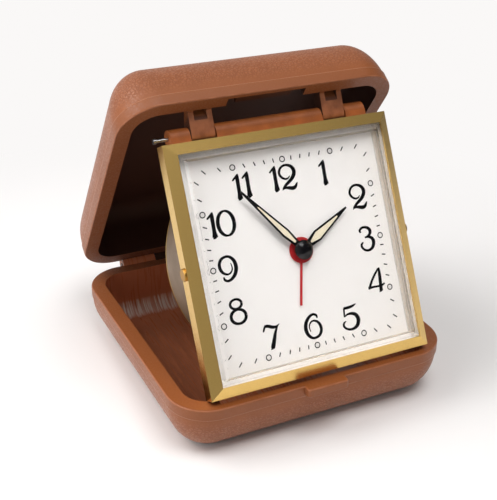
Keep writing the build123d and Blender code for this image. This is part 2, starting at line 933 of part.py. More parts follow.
def make_alarm_wheel():
    wheel = gear(
        hub, alarm_wheel_teeth, fine_module, alarm_wheel_phase, alarm_wheel_depth, wheel_thickness
    )
    back = alarm_wheel_depth + wheel_thickness
    pipe = rod(hub, alarm_pipe_radius, alarm_hand_depth, back)
    return wheel + pipe - rod(hub, alarm_pipe_bore, -overrun, back + overrun)


def make_minute_wheel():
    at = minute_wheel_at
    teeth = minute_wheel_teeth
    wheel = gear(at, teeth, fine_module, minute_wheel_phase, minute_wheel_depth, wheel_thickness)
    pinion_front = hour_wheel_depth - shaft_gap
    pinion_length = minute_wheel_depth - pinion_front
    pinion = gear(
        at, minute_pinion_teeth, hour_module, minute_pinion_phase, pinion_front, pinion_length
    )
    post = rod(at, train_arbor_radius, minute_wheel_depth, front_plate_back - shaft_gap)
    return wheel + pinion + post


def make_setting_stem(at, phase, pinion_front):
    pinion_length = wheel_thickness + 2 * shaft_gap
    teeth = setting_pinion_teeth
    pinion = gear(at, teeth, fine_module, phase, pinion_front - shaft_gap, pinion_length)
    back = cover_back + knob_cover_gap + setting_knob_height / 2
    return pinion + rod(at, setting_stem_radius, pinion_front - shaft_gap, back)


def make_setting_knob(at):
    front = cover_back + knob_cover_gap
    back = front + setting_knob_height
    knob = rod(at, setting_knob_radius, front, back)
    knob = chamfer(knob.edges().group_by(Axis.Z)[0], flute_radius)
    for number in range(setting_knob_flutes):
        groove_at = polar(at, setting_knob_radius, number * 360 / setting_knob_flutes)
        knob -= rod(groove_at, flute_radius, front - overrun, back + overrun)
    bore = rod(at, setting_stem_radius + fixed_gap, front - overrun, front + setting_knob_height / 2)
    return knob - bore


# Going train

def make_centre_wheel():
    arbor_front = minute_hand_depth + hand_thickness
    arbor = rod(hub, centre_arbor_radius, arbor_front, back_plate_back)
    thickness = wheel_thickness
    wheel = gear(
        hub, centre_wheel_teeth, centre_module, centre_wheel_phase, centre_wheel_depth, thickness
    )
    outer = pitch_radius(centre_wheel_teeth, centre_module) - spoke_width - centre_module
    wheel -= spoke_windows(hub, 3 * centre_arbor_radius, outer, centre_wheel_depth, thickness)
    pinion = gear(
        hub,
        centre_pinion_teeth,
        train_module,
        centre_pinion_phase,
        great_wheel_depth - shaft_gap,
        great_wheel_thickness + 2 * shaft_gap,
    )
    return arbor + wheel + pinion


def make_third_wheel():
    at = third_at
    arbor = rod(at, train_arbor_radius, front_plate_depth, back_plate_back)
    pinion = gear(
        at,
        third_pinion_teeth,
        centre_module,
        third_pinion_phase,
        centre_wheel_depth - shaft_gap,
        wheel_thickness + 2 * shaft_gap,
    )
    wheel = gear(
        at, third_wheel_teeth, third_module, third_wheel_phase, third_wheel_depth, wheel_thickness
    )
    outer = pitch_radius(third_wheel_teeth, third_module) - spoke_width - third_module
    wheel -= spoke_windows(at, 3 * train_arbor_radius, outer, third_wheel_depth, wheel_thickness)
    return arbor + pinion + wheel


def make_escape_wheel():
    at = escape_at
    arbor = rod(at, train_arbor_radius, front_plate_depth, back_plate_back)
    pinion = gear(
        at,
        escape_pinion_teeth,
        third_module,
        escape_pinion_phase,
        third_wheel_depth - shaft_gap,
        wheel_thickness + 2 * shaft_gap,
    )
    outline = saw_outline(at, escape_teeth, escape_tip_radius, escape_root_radius, 0, 1 / 2)
    return arbor + pinion + slab(outline, escape_wheel_depth, wheel_thickness)


def make_pallet_lever():
    """A lever with two pins beside the escape wheel and a fork toward the balance."""
    at = pallet_at
    arbor = rod(at, train_arbor_radius, front_plate_depth, back_plate_back)
    front = pallet_lever_depth
    fork_length = balance_distance - roller_radius - fork_gap
    arms = arm_face(at, balance_angle, fork_length, lever_width)
    pin_ring = escape_tip_radius + pallet_pin_radius + pallet_pin_gap
    lever = slab(arms, front, pallet_lever_thickness)
    pins = None
    for side in (-1, 1):
        pin_at = polar(escape_at, pin_ring, pallet_angle + side * pallet_span_angle)
        reach = math.dist(at, pin_at)
        heading = math.degrees(math.atan2(pin_at[1] - at[1], pin_at[0] - at[0]))
        lever += slab(arm_face(at, heading, reach, lever_width), front, pallet_lever_thickness)
        pin = rod(pin_at, pallet_pin_radius, escape_wheel_depth, front)
        pins = pin if pins is None else pins + pin
    return arbor + lever + pins


def arm_face(at, heading, length, width):
    """A flat arm with one round end at its pivot."""
    bar = Pos(length / 2, 0) * Rectangle(length, width)
    end = Circle(width)
    return Pos(at[0], at[1]) * Rot(0, 0, heading) * (bar + end)


def make_balance_wheel():
    at = balance_at
    front = balance_depth
    back = front + balance_thickness
    rim = tube(at, balance_radius, balance_radius - balance_rim_width, front, back)
    arm = Box(2 * balance_radius - balance_rim_width, spoke_width, balance_thickness)
    arm = Pos(at[0], at[1], -(front + back) / 2) * arm
    staff = rod(at, balance_staff_radius, front_plate_depth, back_plate_back)
    roller_back = pallet_lever_depth + pallet_lever_thickness
    roller = rod(at, roller_radius, pallet_lever_depth, roller_back)
    return rim + arm + staff + roller


def make_hairspring():
    return ribbon(
        balance_at,
        hairspring_inner_radius,
        hairspring_pitch,
        hairspring_turns,
        hairspring_thickness,
        hairspring_depth,
        hairspring_height,
    )


# Barrels, winding work and keys

def make_barrel(at, teeth, module, phase, wheel_front):
    """A hollow drum with its great wheel behind it and a bore for the winding arbor."""
    back = wheel_front + great_wheel_thickness
    wheel = gear(at, teeth, module, phase, wheel_front, great_wheel_thickness)
    drum_back = great_wheel_depth
    drum = rod(at, barrel_radius, barrel_front_depth, drum_back)
    inside_front = barrel_front_depth + barrel_wall
    drum -= rod(at, barrel_radius - barrel_wall, inside_front, drum_back - barrel_wall)
    boss = rod(at, 2 * winding_arbor_radius, drum_back - barrel_wall, back)
    bore = rod(at, winding_arbor_radius + shaft_gap, barrel_front_depth - overrun, back + overrun)
    return drum + wheel + boss - bore


def make_time_barrel():
    return make_barrel(
        time_barrel_at, great_wheel_teeth, train_module, great_wheel_phase, great_wheel_depth
    )


def make_alarm_barrel():
    return make_barrel(
        alarm_barrel_at,
        alarm_great_teeth,
        alarm_train_module,
        alarm_great_phase,
        alarm_great_depth,
    )


def make_mainspring(at):
    return ribbon(
        at,
        mainspring_inner_radius,
        mainspring_pitch,
        mainspring_turns,
        mainspring_thickness,
        mainspring_depth,
        mainspring_height,
    )


def make_winding_arbor(at):
    back = cover_back + key_cover_gap + key_hub_length
    return rod(at, winding_arbor_radius, front_plate_depth, back)


def make_ratchet(at):
    outline = saw_outline(at, ratchet_teeth, ratchet_tip_radius, ratchet_root_radius, click_angle, 0)
    wheel = slab(outline, ratchet_depth, ratchet_thickness)
    back = ratchet_depth + ratchet_thickness + overrun
    return wheel - rod(at, winding_arbor_radius + fixed_gap, ratchet_depth - overrun, back)


def click_pivot(at, side):
    """The click's pivot, beside the foot of its ratchet wheel."""
    tip = polar(at, ratchet_tip_radius, click_angle)
    return (tip[0] + side * click_length, tip[1] - click_width)


def make_click(at, side):
    """A pawl whose nose stands just clear of the ratchet's teeth."""
    pivot = click_pivot(at, side)
    nose = polar(at, ratchet_tip_radius + shaft_gap, click_angle)
    outline = [
        (nose[0], nose[1]),
        (nose[0] - side * click_width / 4, nose[1] - click_width / 2),
        (pivot[0], pivot[1] - click_width / 2),
        (pivot[0], pivot[1] + click_width / 2),
    ]
    body = slab(polygon_face(outline), ratchet_depth, ratchet_thickness)
    back = ratchet_depth + ratchet_thickness
    eye = rod(pivot, click_width, ratchet_depth, back)
    stud = rod(pivot, click_pivot_radius, back_plate_depth, back)
    return body + eye + stud


def make_key(at):
    """A folding-size wing key: round hub with a flat thumb wing."""
    front = cover_back + key_cover_gap
    hub_back = front + key_hub_length
    hub_piece = rod(at, key_hub_radius, front, hub_back)
    hub_piece -= rod(at, winding_arbor_radius + fixed_gap, front - overrun, hub_back)
    wing = Box(key_wing_length, key_wing_thickness, key_wing_height)
    wing = fillet(wing.edges().filter_by(Axis.Y), key_wing_height / 3)
    return hub_piece + Pos(at[0], at[1], -(hub_back + key_wing_height / 2)) * wing


# Alarm work

def make_strike_wheel():
    at = strike_at
    arbor = rod(at, train_arbor_radius, front_plate_depth, back_plate_back)
    pinion = gear(
        at,
        strike_pinion_teeth,
        alarm_train_module,
        strike_pinion_phase,
        alarm_great_depth - shaft_gap,
        great_wheel_thickness + 2 * shaft_gap,
    )
    outline = saw_outline(at, strike_wheel_teeth, strike_tip_radius, strike_root_radius, 0, 1 / 2)
    return arbor + pinion + slab(outline, strike_wheel_depth, wheel_thickness)


def make_alarm_hammer():
    """An arbor with a short verge at the strike wheel and a long arm with the head."""
    at = hammer_at
    arbor = rod(at, train_arbor_radius, front_plate_depth, hammer_arm_depth + hammer_arm_thickness)
    heading = hammer_angle + 180
    verge = slab(
        arm_face(at, heading, hammer_verge_reach, lever_width), strike_wheel_depth, wheel_thickness
    )
    arm_outline = arm_face(at, hammer_arm_angle, hammer_arm_length, hammer_arm_width)
    arm = slab(arm_outline, hammer_arm_depth, hammer_arm_thickness)
    head = rod(
        hammer_head_at, hammer_head_radius, hammer_arm_depth, hammer_arm_depth + hammer_head_height
    )
    return arbor + verge + arm + head


def make_bell_post():
    return rod(bell_post_at, bell_post_radius, drum_depth - bell_post_height, drum_depth)


def make_stop_button():
    back = cover_back + stop_button_reach
    cap = rod(stop_button_at, stop_button_radius, stop_button_collar_front(), back)
    cap = fillet(cap.edges().group_by(Axis.Z)[0], rim_edge_radius)
    stem = rod(stop_button_at, stop_button_stem_radius, stop_button_stem_end, back)
    collar_front = stop_button_collar_front()
    collar_back = collar_front + stop_button_collar_thickness
    collar = rod(stop_button_at, stop_button_collar_radius, collar_front, collar_back)
    return cap + stem + collar


def stop_button_collar_front():
    return drum_depth - cover_hole_gap - stop_button_collar_thickness


def make_regulator():
    """A lever about the balance's axis, with a finger out through the cover."""
    at = balance_at
    front = regulator_depth
    back = front + regulator_thickness
    arm = slab(
        arm_face(at, regulator_arm_angle, regulator_arm_length, spoke_width),
        front,
        regulator_thickness,
    )
    plate_hub = rod(at, regulator_hub_radius, front, back)
    finger_at = polar(at, regulator_arm_length, regulator_arm_angle)
    finger = rod(finger_at, regulator_finger_radius, front, cover_back + regulator_finger_reach)
    pivot = tube(
        at,
        regulator_hub_radius,
        balance_staff_radius + shaft_gap,
        back_plate_back + shaft_gap,
        front,
    )
    return arm + plate_hub + finger + pivot


# Plates, pillars and their screws

def arbor_holes(places, radius, front, back):
    group = None
    for at in places:
        hole = rod(at, radius + shaft_gap, front - overrun, back + overrun)
        group = hole if group is None else group + hole
    return group


def make_front_plate():
    front = front_plate_depth
    plate = rod(hub, plate_radius, front, front_plate_back)
    plate -= arbor_holes([hub], centre_arbor_radius, front, front_plate_back)
    wide = [time_barrel_at, alarm_barrel_at]
    plate -= arbor_holes(wide, winding_arbor_radius, front, front_plate_back)
    narrow = [third_at, escape_at, pallet_at, strike_at, hammer_at, minute_wheel_at]
    plate -= arbor_holes(narrow, train_arbor_radius, front, front_plate_back)
    plate -= arbor_holes([balance_at], balance_staff_radius, front, front_plate_back)
    stems = [time_stem_at, alarm_stem_at]
    plate -= arbor_holes(stems, setting_stem_radius, front, front_plate_back)
    return plate - arbor_holes(pillar_places, small_screw_radius, front, front_plate_back)


def make_back_plate():
    front = back_plate_depth
    plate = rod(hub, plate_radius, front, back_plate_back)
    plate -= arbor_holes([hub], centre_arbor_radius, front, back_plate_back)
    wide = [time_barrel_at, alarm_barrel_at]
    plate -= arbor_holes(wide, winding_arbor_radius, front, back_plate_back)
    narrow = [third_at, escape_at, pallet_at, strike_at, hammer_at]
    plate -= arbor_holes(narrow, train_arbor_radius, front, back_plate_back)
    plate -= arbor_holes([balance_at], balance_staff_radius, front, back_plate_back)
    stems = [time_stem_at, alarm_stem_at]
    plate -= arbor_holes(stems, setting_stem_radius, front, back_plate_back)
    clicks = [click_pivot(time_barrel_at, -1), click_pivot(alarm_barrel_at, 1)]
    plate -= arbor_holes(clicks, click_pivot_radius, front, back_plate_back)
    return plate - arbor_holes(pillar_places, small_screw_radius, front, back_plate_back)


def make_pillars():
    pieces = []
    for at in pillar_places:
        pillar = rod(at, pillar_radius, front_plate_back, back_plate_depth)
        bore = small_screw_radius + screw_fit_gap
        front_bore_back = front_plate_back + pillar_bore_depth
        pillar -= rod(at, bore, front_plate_back - overrun, front_bore_back)
        back_bore_front = back_plate_depth - pillar_bore_depth
        pieces.append(pillar - rod(at, bore, back_bore_front, back_plate_depth + overrun))
    return pieces


def make_plate_screws():
    length = plate_thickness + screw_length_in_pillar
    return [screw(at, front_plate_depth, length, 1) for at in pillar_places]


def make_cover_posts():
    """Standoffs screwed through the back plate, which carry the rear cover."""
    pieces = []
    for at in pillar_places:
        post = rod(at, pillar_radius, back_plate_back, drum_depth)
        stud_front = back_plate_depth - screw_length_in_pillar
        post += rod(at, small_screw_radius, stud_front, back_plate_back)
        bore = small_screw_radius + screw_fit_gap
        bore_front = drum_depth - pillar_bore_depth
        pieces.append(post - rod(at, bore, bore_front, drum_depth + overrun))
    return pieces


def make_cover_screws():
    length = cover_thickness + screw_length_in_pillar
    return [screw(at, cover_back, length, -1) for at in pillar_places]


# Movement case

def make_case_drum():
    """One pressed piece: square flange behind the dial and the round can."""
    flange_front = dial_front + dial_thickness + dial_back_gap
    side = frame_side - 2 * bezel_sheet - 2 * drum_flange_edge_gap
    flange = slab(square(side), flange_front, drum_flange_thickness)
    can = rod(hub, drum_radius, flange_front, drum_depth)
    can = fillet(can.edges().group_by(Axis.Z)[0], drum_wall / 2)
    inside = rod(hub, drum_radius - drum_wall, flange_front - overrun, drum_depth + overrun)
    holes = rail_screw_holes(flange_front - overrun, frame_depth + overrun)
    return flange + can - inside - holes


def rail_screw_places():
    return [(-rail_screw_x, rail_screw_height), (rail_screw_x, rail_screw_height)]


def rail_screw_holes(front, back):
    group = None
    for at in rail_screw_places():
        hole = rod(at, small_screw_radius + screw_fit_gap, front, back)
        group = hole if group is None else group + hole
    return group


def regulator_slot(front, back):
    """The arc that the regulator's finger sweeps, as a row of overlapping holes."""
    slot = None
    for number in range(slot_steps + 1):
        swing = regulator_swing * (2 * number / slot_steps - 1)
        at = polar(balance_at, regulator_arm_length, regulator_arm_angle + swing)
        hole = rod(at, regulator_finger_radius + cover_hole_gap, front, back)
        slot = hole if slot is None else slot + hole
    return slot


slot_steps = 8


def make_rear_cover():
    disc = rod(hub, drum_radius, drum_depth, cover_back)
    disc = fillet(disc.edges().group_by(Axis.Z)[0], cover_thickness / 2)
    ring_outer = drum_radius - drum_wall - cover_fit_gap
    ring_front = drum_depth - cover_rim_height
    disc += tube(hub, ring_outer, ring_outer - cover_thickness, ring_front, drum_depth)
    front = drum_depth - overrun
    back = cover_back + overrun
    barrels = [time_barrel_at, alarm_barrel_at]
    disc -= arbor_holes(barrels, winding_arbor_radius + cover_hole_gap, front, back)
    stems = [time_stem_at, alarm_stem_at]
    disc -= arbor_holes(stems, setting_stem_radius + cover_hole_gap, front, back)
    disc -= arbor_holes([stop_button_at], stop_button_radius, front, back)
    disc -= arbor_holes(pillar_places, small_screw_radius, front, back)
    return disc - regulator_slot(front, back)


# Hinge bar on top of the panel and its pin

def bar_spans():
    """The three stretches of the bar between and beside the lid's lugs."""
    return [
        (bar_left, -lug_outer_edge),
        (-lug_inner_edge, lug_inner_edge),
        (lug_outer_edge, bar_right),
    ]


def make_hinge_bar():
    rail_front = frame_depth + bar_rail_gap
    height = bar_rail_top - bar_rail_bottom
    rail = Box(bar_right - bar_left, height, bar_rail_thickness)
    rail_y = bar_rail_bottom + height / 2
    rail_x = (bar_left + bar_right) / 2
    bar = Pos(rail_x, rail_y, -(rail_front + bar_rail_thickness / 2)) * rail
    for left, right in bar_spans():
        bar += along_x(bar_radius, left, right, panel_pin_height, -panel_pin_behind_arris)
        web_height = panel_pin_height - bar_rail_bottom
        web = Box(right - left, web_height, bar_rail_thickness)
        web_z = -(rail_front + bar_rail_thickness / 2)
        bar += Pos((left + right) / 2, bar_rail_bottom + web_height / 2, web_z) * web
    bar -= rod(hub, drum_radius + bar_drum_gap, 0, drum_depth)
    left = bar_left - overrun
    right = bar_right + overrun
    bore = panel_pin_radius + pin_running_gap
    bar -= along_x(bore, left, right, panel_pin_height, -panel_pin_behind_arris)
    return bar - rail_screw_holes(0, drum_depth)


def make_hinge_bar_screws():
    head_front = frame_depth + bar_rail_gap + bar_rail_thickness
    flange_front = dial_front + dial_thickness + dial_back_gap
    length = head_front - flange_front
    return [screw(at, head_front, length, -1) for at in rail_screw_places()]


def make_panel_hinge_pin():
    """A steel wire pin whose headed end stands out at the left."""
    y = panel_pin_height
    z = -panel_pin_behind_arris
    shank = along_x(panel_pin_radius, -panel_pin_left_reach, bar_right, y, z)
    head_end = -panel_pin_left_reach + panel_pin_head_thickness
    return shank + along_x(panel_pin_head_radius, -panel_pin_left_reach, head_end, y, z)


# Every sub-part, grouped by the frame that it is drawn in

base_pieces = {
    "base_shell": make_base_shell,
    "case_hinge_pin": make_case_hinge_pin,
}
lid_pieces = {
    "lid_shell": make_lid_shell,
    "catch_strip": make_catch_strip,
}
panel_pieces = {
    "bezel": make_bezel,
    "side_pips": make_side_pips,
    "crystal": make_crystal,
    "dial": make_dial,
    "hour_dots": make_hour_dots,
    "minute_hand": make_minute_hand,
    "minute_hand_lume": lambda: make_lume(*minute_sizes, minute_angle, minute_hand_depth),
    "hub_cap": make_hub_cap,
    "hour_hand": make_hour_hand,
    "hour_hand_lume": lambda: make_lume(*hour_sizes, hour_angle, hour_hand_depth),
    "alarm_hand": make_alarm_hand,
    "cannon_pinion": make_cannon_pinion,
    "hour_wheel": make_hour_wheel,
    "alarm_wheel": make_alarm_wheel,
    "minute_wheel": make_minute_wheel,
    "time_set_stem": lambda: make_setting_stem(time_stem_at, time_stem_phase, minute_wheel_depth),
    "time_set_knob": lambda: make_setting_knob(time_stem_at),
    "alarm_set_stem": lambda: make_setting_stem(alarm_stem_at, alarm_stem_phase, alarm_wheel_depth),
    "alarm_set_knob": lambda: make_setting_knob(alarm_stem_at),
    "case_drum": make_case_drum,
    "rear_cover": make_rear_cover,
    "rear_cover_screws": make_cover_screws,
    "hinge_bar": make_hinge_bar,
    "hinge_bar_screws": make_hinge_bar_screws,
    "panel_hinge_pin": make_panel_hinge_pin,
    "front_plate": make_front_plate,
    "back_plate": make_back_plate,
    "plate_pillars": make_pillars,
    "plate_screws": make_plate_screws,
    "cover_posts": make_cover_posts,
    "centre_wheel": make_centre_wheel,
    "third_wheel": make_third_wheel,
    "escape_wheel": make_escape_wheel,
    "pallet_lever": make_pallet_lever,
    "balance_wheel": make_balance_wheel,
    "hairspring": make_hairspring,
    "regulator_lever": make_regulator,
    "time_barrel": make_time_barrel,
    "time_mainspring": lambda: make_mainspring(time_barrel_at),
    "time_winding_arbor": lambda: make_winding_arbor(time_barrel_at),
    "time_ratchet_wheel": lambda: make_ratchet(time_barrel_at),
    "time_click": lambda: make_click(time_barrel_at, -1),
    "time_winding_key": lambda: make_key(time_barrel_at),
    "alarm_barrel": make_alarm_barrel,
    "alarm_mainspring": lambda: make_mainspring(alarm_barrel_at),
    "alarm_winding_arbor": lambda: make_winding_arbor(alarm_barrel_at),
    "alarm_ratchet_wheel": lambda: make_ratchet(alarm_barrel_at),
    "alarm_click": lambda: make_click(alarm_barrel_at, 1),
    "alarm_winding_key": lambda: make_key(alarm_barrel_at),
    "strike_wheel": make_strike_wheel,
    "alarm_hammer": make_alarm_hammer,
    "bell_post": make_bell_post,
    "alarm_stop_button": make_stop_button,
}


def scaled_about_origin(solid, share):
    """The solid made larger or smaller, with its place scaled too."""
    result = scale(solid, by=share)
    result.position = solid.position * share
    return result


def write_pieces(pieces, place, share):
    for name, make in pieces.items():
        shape = make()
        solids = shape if isinstance(shape, list) else [shape]
        placed = [place * scaled_about_origin(solid, share) for solid in solids]
        result = placed[0] if len(placed) == 1 else Compound(children=placed)
        export_step(result, "parts/" + name + ".step")


os.makedirs("parts", exist_ok=True)
write_pieces(base_pieces, Location((0, 0, 0)), 1)
write_pieces(lid_pieces, lid_place, 1)
write_pieces(panel_pieces, panel_place, clock_share)
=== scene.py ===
# Folding travel alarm clock: the finish of its shells, gilt frame, dial and movement.
# Lengths are in metres; the clock stands as it does on a table, opened.

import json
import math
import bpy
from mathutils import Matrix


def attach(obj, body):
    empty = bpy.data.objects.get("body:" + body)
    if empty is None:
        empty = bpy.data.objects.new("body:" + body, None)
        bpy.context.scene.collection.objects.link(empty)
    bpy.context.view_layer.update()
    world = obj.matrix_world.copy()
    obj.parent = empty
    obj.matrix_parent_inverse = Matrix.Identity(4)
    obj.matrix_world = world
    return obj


bl_info = {
    "name": "Folding Travel Alarm Clock Finish",
    "version": (1, 0, 0),
    "blender": (4, 5, 0),
    "location": "View3D > Sidebar > Travel Clock",
    "description": "Dresses the packed travel alarm clock and sets it on a pale studio floor",
    "category": "Object",
}

import bpy
from bpy.props import FloatProperty, FloatVectorProperty, PointerProperty
from mathutils import Matrix, Vector

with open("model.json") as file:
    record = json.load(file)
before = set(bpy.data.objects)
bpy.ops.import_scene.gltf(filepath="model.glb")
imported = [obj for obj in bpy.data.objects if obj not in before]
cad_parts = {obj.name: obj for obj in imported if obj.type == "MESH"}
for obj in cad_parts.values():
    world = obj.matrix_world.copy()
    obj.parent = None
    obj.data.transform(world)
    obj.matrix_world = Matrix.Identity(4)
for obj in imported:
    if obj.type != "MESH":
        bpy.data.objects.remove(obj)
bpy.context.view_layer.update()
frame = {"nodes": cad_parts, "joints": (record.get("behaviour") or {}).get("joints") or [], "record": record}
JOINTS = {joint["name"]: joint for joint in frame["joints"]}
SLOTS = {part["node"]: part["material_slot"] for part in frame["record"]["subparts"]}

MM = 0.001

# A bevel rounds only edges that turn by more than this
EDGE_ANGLE = math.radians(25.0)

# Both shells: the rim's height over the outside of the bottom, a point in the hollow with the
# rim at Z 0, the stretch over which outside turns to inside, the one over which the grain
# begins under the smooth band, and the tone of each flat rim, the lid's darker one painted shade
CASE_RIM_HEIGHT = 16.2 * MM
SHELL_MIDDLE = (0.0, 0.0, 5.0 * MM)
INSIDE_FADE = 2.0 * MM
GRAIN_FADE = 4.0 * MM
RIM_TONES_AND_LID_SHADE = {"base_shell": 0.97, "lid_shell": 0.72}
LID_LINING_ROUGHNESS = 0.6

# Points along the oval and the curved strokes of the print
RING_STEPS = 24
STROKE_STEPS = 6

# The floor, the room, and each light's place with the side of its square
FLOOR_REACH = 4.0
ROOM_COLOUR = (1.0, 0.985, 0.97)
BEHIND_ON_LEFT = (-0.468, 0.884, 0.0)
CLOCK_MIDDLE = Vector((0, 0, 0.04))
KEY_LIGHT = ((-0.45, 0.2, 0.65), 0.5)
OVERHEAD_LIGHT = ((0.05, -0.3, 0.95), 0.5)
SIDE_LIGHT = ((-0.85, 0.0, 0.35), 0.6)

# The camera, at the photograph's viewing angle
CAMERA_PLACE = Vector((-0.117032, -0.227725, 0.169394))
CAMERA_AHEAD = Vector((0.395622, 0.793019, -0.463254))
CAMERA_UP = Vector((0.188487, 0.423562, 0.886041))
SENSOR_WIDTH = 36.0


def screen_colour(red, green, blue):
    """The shader's colour for one read off a screen in steps of 0 to 255."""
    channels = []
    for value in (red, green, blue):
        share = value / 255
        low = share / 12.92
        high = ((share + 0.055) / 1.055) ** 2.4
        channels.append(low if share <= 0.04045 else high)
    return tuple(channels)


def toned(colour, level):
    """A colour made darker or lighter by a level, where 1 leaves it as it is."""
    return tuple(level * channel for channel in colour)


def opaque(colour):
    """A colour of four channels; an output of a node stays as it is."""
    if isinstance(colour, bpy.types.NodeSocket):
        return colour
    return (*colour[:3], 1.0)


def dial_place():
    """A matrix from the dial's own plane: X right, Y up, Z out, origin at its middle."""
    out = -Vector(JOINTS["minute_hand_turn"]["axis"]).normalized()
    right = Vector((1, 0, 0))
    up = out.cross(right)
    corners = [vertex.co for vertex in frame["nodes"]["dial"].data.vertices]
    origin = out * max(out.dot(corner) for corner in corners)
    for way in (right, up):
        reaches = [way.dot(corner) for corner in corners]
        origin += way * (min(reaches) + max(reaches)) / 2
    place = Matrix((right, up, out)).transposed().to_4x4()
    place.translation = origin
    return place


DIAL_PLACE = dial_place()


# Node recipes

class Recipe:
    """A node tree, with short words for the nodes that the finishes and the room use."""

    def __init__(self, tree):
        self.nodes = tree.nodes
        self.links = tree.links
        self.nodes.clear()
        self.coordinates = self.nodes.new("ShaderNodeTexCoord").outputs

    def feed(self, value, socket):
        """Links an output to a socket, or sets the socket to a plain value."""
        if isinstance(value, bpy.types.NodeSocket):
            self.links.new(value, socket)
        else:
            socket.default_value = value

    def math(self, operation, first, second=0.0, third=0.0):
        node = self.nodes.new("ShaderNodeMath")
        node.operation = operation
        for socket, value in zip(node.inputs, (first, second, third)):
            self.feed(value, socket)
        return node.outputs["Value"]

    def times(self, first, second):
        return self.math("MULTIPLY", first, second)

    def vector(self, operation, first, second=(0.0, 0.0, 0.0)):
        node = self.nodes.new("ShaderNodeVectorMath")
        node.operation = operation
        self.feed(first, node.inputs[0])
        self.feed(second, node.inputs[1])
        single = operation in ("DOT_PRODUCT", "LENGTH")
        return node.outputs["Value" if single else "Vector"]

    def split(self, vector):
        """The three outputs X, Y and Z of a vector."""
        node = self.nodes.new("ShaderNodeSeparateXYZ")
        self.feed(vector, node.inputs[0])
        return node.outputs

    def moved(self, vector, location=(0, 0, 0), rotation=(0, 0, 0), scale=(1, 1, 1), kind="POINT"):
        """A point or a normal in coordinates that are scaled, turned and shifted."""
        node = self.nodes.new("ShaderNodeMapping")
        node.vector_type = kind
        self.feed(vector, node.inputs["Vector"])
        if kind == "POINT":
            node.inputs["Location"].default_value = location
        node.inputs["Rotation"].default_value = rotation
        node.inputs["Scale"].default_value = scale
        return node.outputs["Vector"]

    def noise(self, vector, width, detail):
        """Soft lumps of about that width in metres."""
        node = self.nodes.new("ShaderNodeTexNoise")
        self.feed(vector, node.inputs["Vector"])
        node.inputs["Scale"].default_value = 1 / width
        node.inputs["Detail"].default_value = detail
        return node.outputs["Fac"]

    def cells(self, vector, width, feature="F1"):
        """Distances in cells of about that width in metres."""
        node = self.nodes.new("ShaderNodeTexVoronoi")
        node.feature = feature
        self.feed(vector, node.inputs["Vector"])
        node.inputs["Scale"].default_value = 1 / width
        return node.outputs["Distance"]

    def ramp(self, value, low, high, start=0.0, end=1.0):
        """A smooth step from start at the low value to end at the high one."""
        node = self.nodes.new("ShaderNodeMapRange")
        node.interpolation_type = "SMOOTHSTEP"
        self.feed(value, node.inputs["Value"])
        node.inputs["From Min"].default_value = low
        node.inputs["From Max"].default_value = high
        node.inputs["To Min"].default_value = start
        node.inputs["To Max"].default_value = end
        return node.outputs["Result"]

    def blend(self, share, first, second):
        """A colour between two, by a share from 0 to 1."""
        node = self.nodes.new("ShaderNodeMix")
        node.data_type = "RGBA"
        self.feed(share, node.inputs["Factor"])
        self.feed(opaque(first), node.inputs[6])
        self.feed(opaque(second), node.inputs[7])
        return node.outputs[2]

    def mixed(self, share, first, second):
        """A shader between two, by a share from 0 to 1."""
        node = self.nodes.new("ShaderNodeMixShader")
        self.feed(share, node.inputs["Fac"])
        self.feed(first, node.inputs[1])
        self.feed(second, node.inputs[2])
        return node.outputs["Shader"]


class Finish(Recipe):
    """One material, with its Principled shader and its output."""

    def __init__(self, name):
        self.material = bpy.data.materials.new(name)
        self.material.use_nodes = True
        super().__init__(self.material.node_tree)
        self.place = self.coordinates["Object"]
        self.output = self.nodes.new("ShaderNodeOutputMaterial")
        self.shader = self.nodes.new("ShaderNodeBsdfPrincipled")
        self.show(self.shader.outputs["BSDF"])

    def show(self, shader):
        self.links.new(shader, self.output.inputs["Surface"])

    def relief(self, height, depth, strength=1.0):
        """Surface relief of that depth in metres, from a height between 0 and 1."""
        node = self.nodes.new("ShaderNodeBump")
        node.inputs["Strength"].default_value = strength
        node.inputs["Distance"].default_value = depth
        self.feed(height, node.inputs["Height"])
        self.links.new(node.outputs["Normal"], self.shader.inputs["Normal"])

    def set(self, **sockets):
        """Sets the shader's own sockets; words are joined with underscores."""
        for name, value in sockets.items():
            self.feed(value, self.shader.inputs[name.replace("_", " ")])


DRESSED = set()


def give(node, material):
    """Gives a CAD node its material, with nothing else on the mesh changed."""
    mesh = frame["nodes"][node].data
    mesh.materials.clear()
    mesh.materials.append(material)
    DRESSED.add(node)


def soften_edges(node, width, segments=2):
    """A narrow rounding on the edges of a CAD node, so that they catch the light."""
    bevel = frame["nodes"][node].modifiers.new("edge rounding", "BEVEL")
    bevel.width = width
    bevel.segments = segments
    bevel.limit_method = "ANGLE"
    bevel.angle_limit = EDGE_ANGLE
    bevel.harden_normals = True


# Sizes and colours that a user may change

def colour_setting(name, description, red, green, blue):
    """A colour, given as it reads off a screen."""
    return FloatVectorProperty(
        name=name, description=description, subtype="COLOR", size=3, min=0, max=1,
        default=screen_colour(red, green, blue),
    )


def length_setting(name, description, length, precision=5):
    """A length in metres, shown with that many decimals."""
    return FloatProperty(
        name=name, description=description, subtype="DISTANCE", unit="LENGTH",
        precision=precision, default=length,
    )


def share_setting(name, description, share):
    """A share from 0 to 1."""
    return FloatProperty(name=name, description=description, min=0, max=1, default=share)


def power_setting(name, description, power):
    """The power of a light in watts."""
    return FloatProperty(name=name, description=description, unit="POWER", default=power)


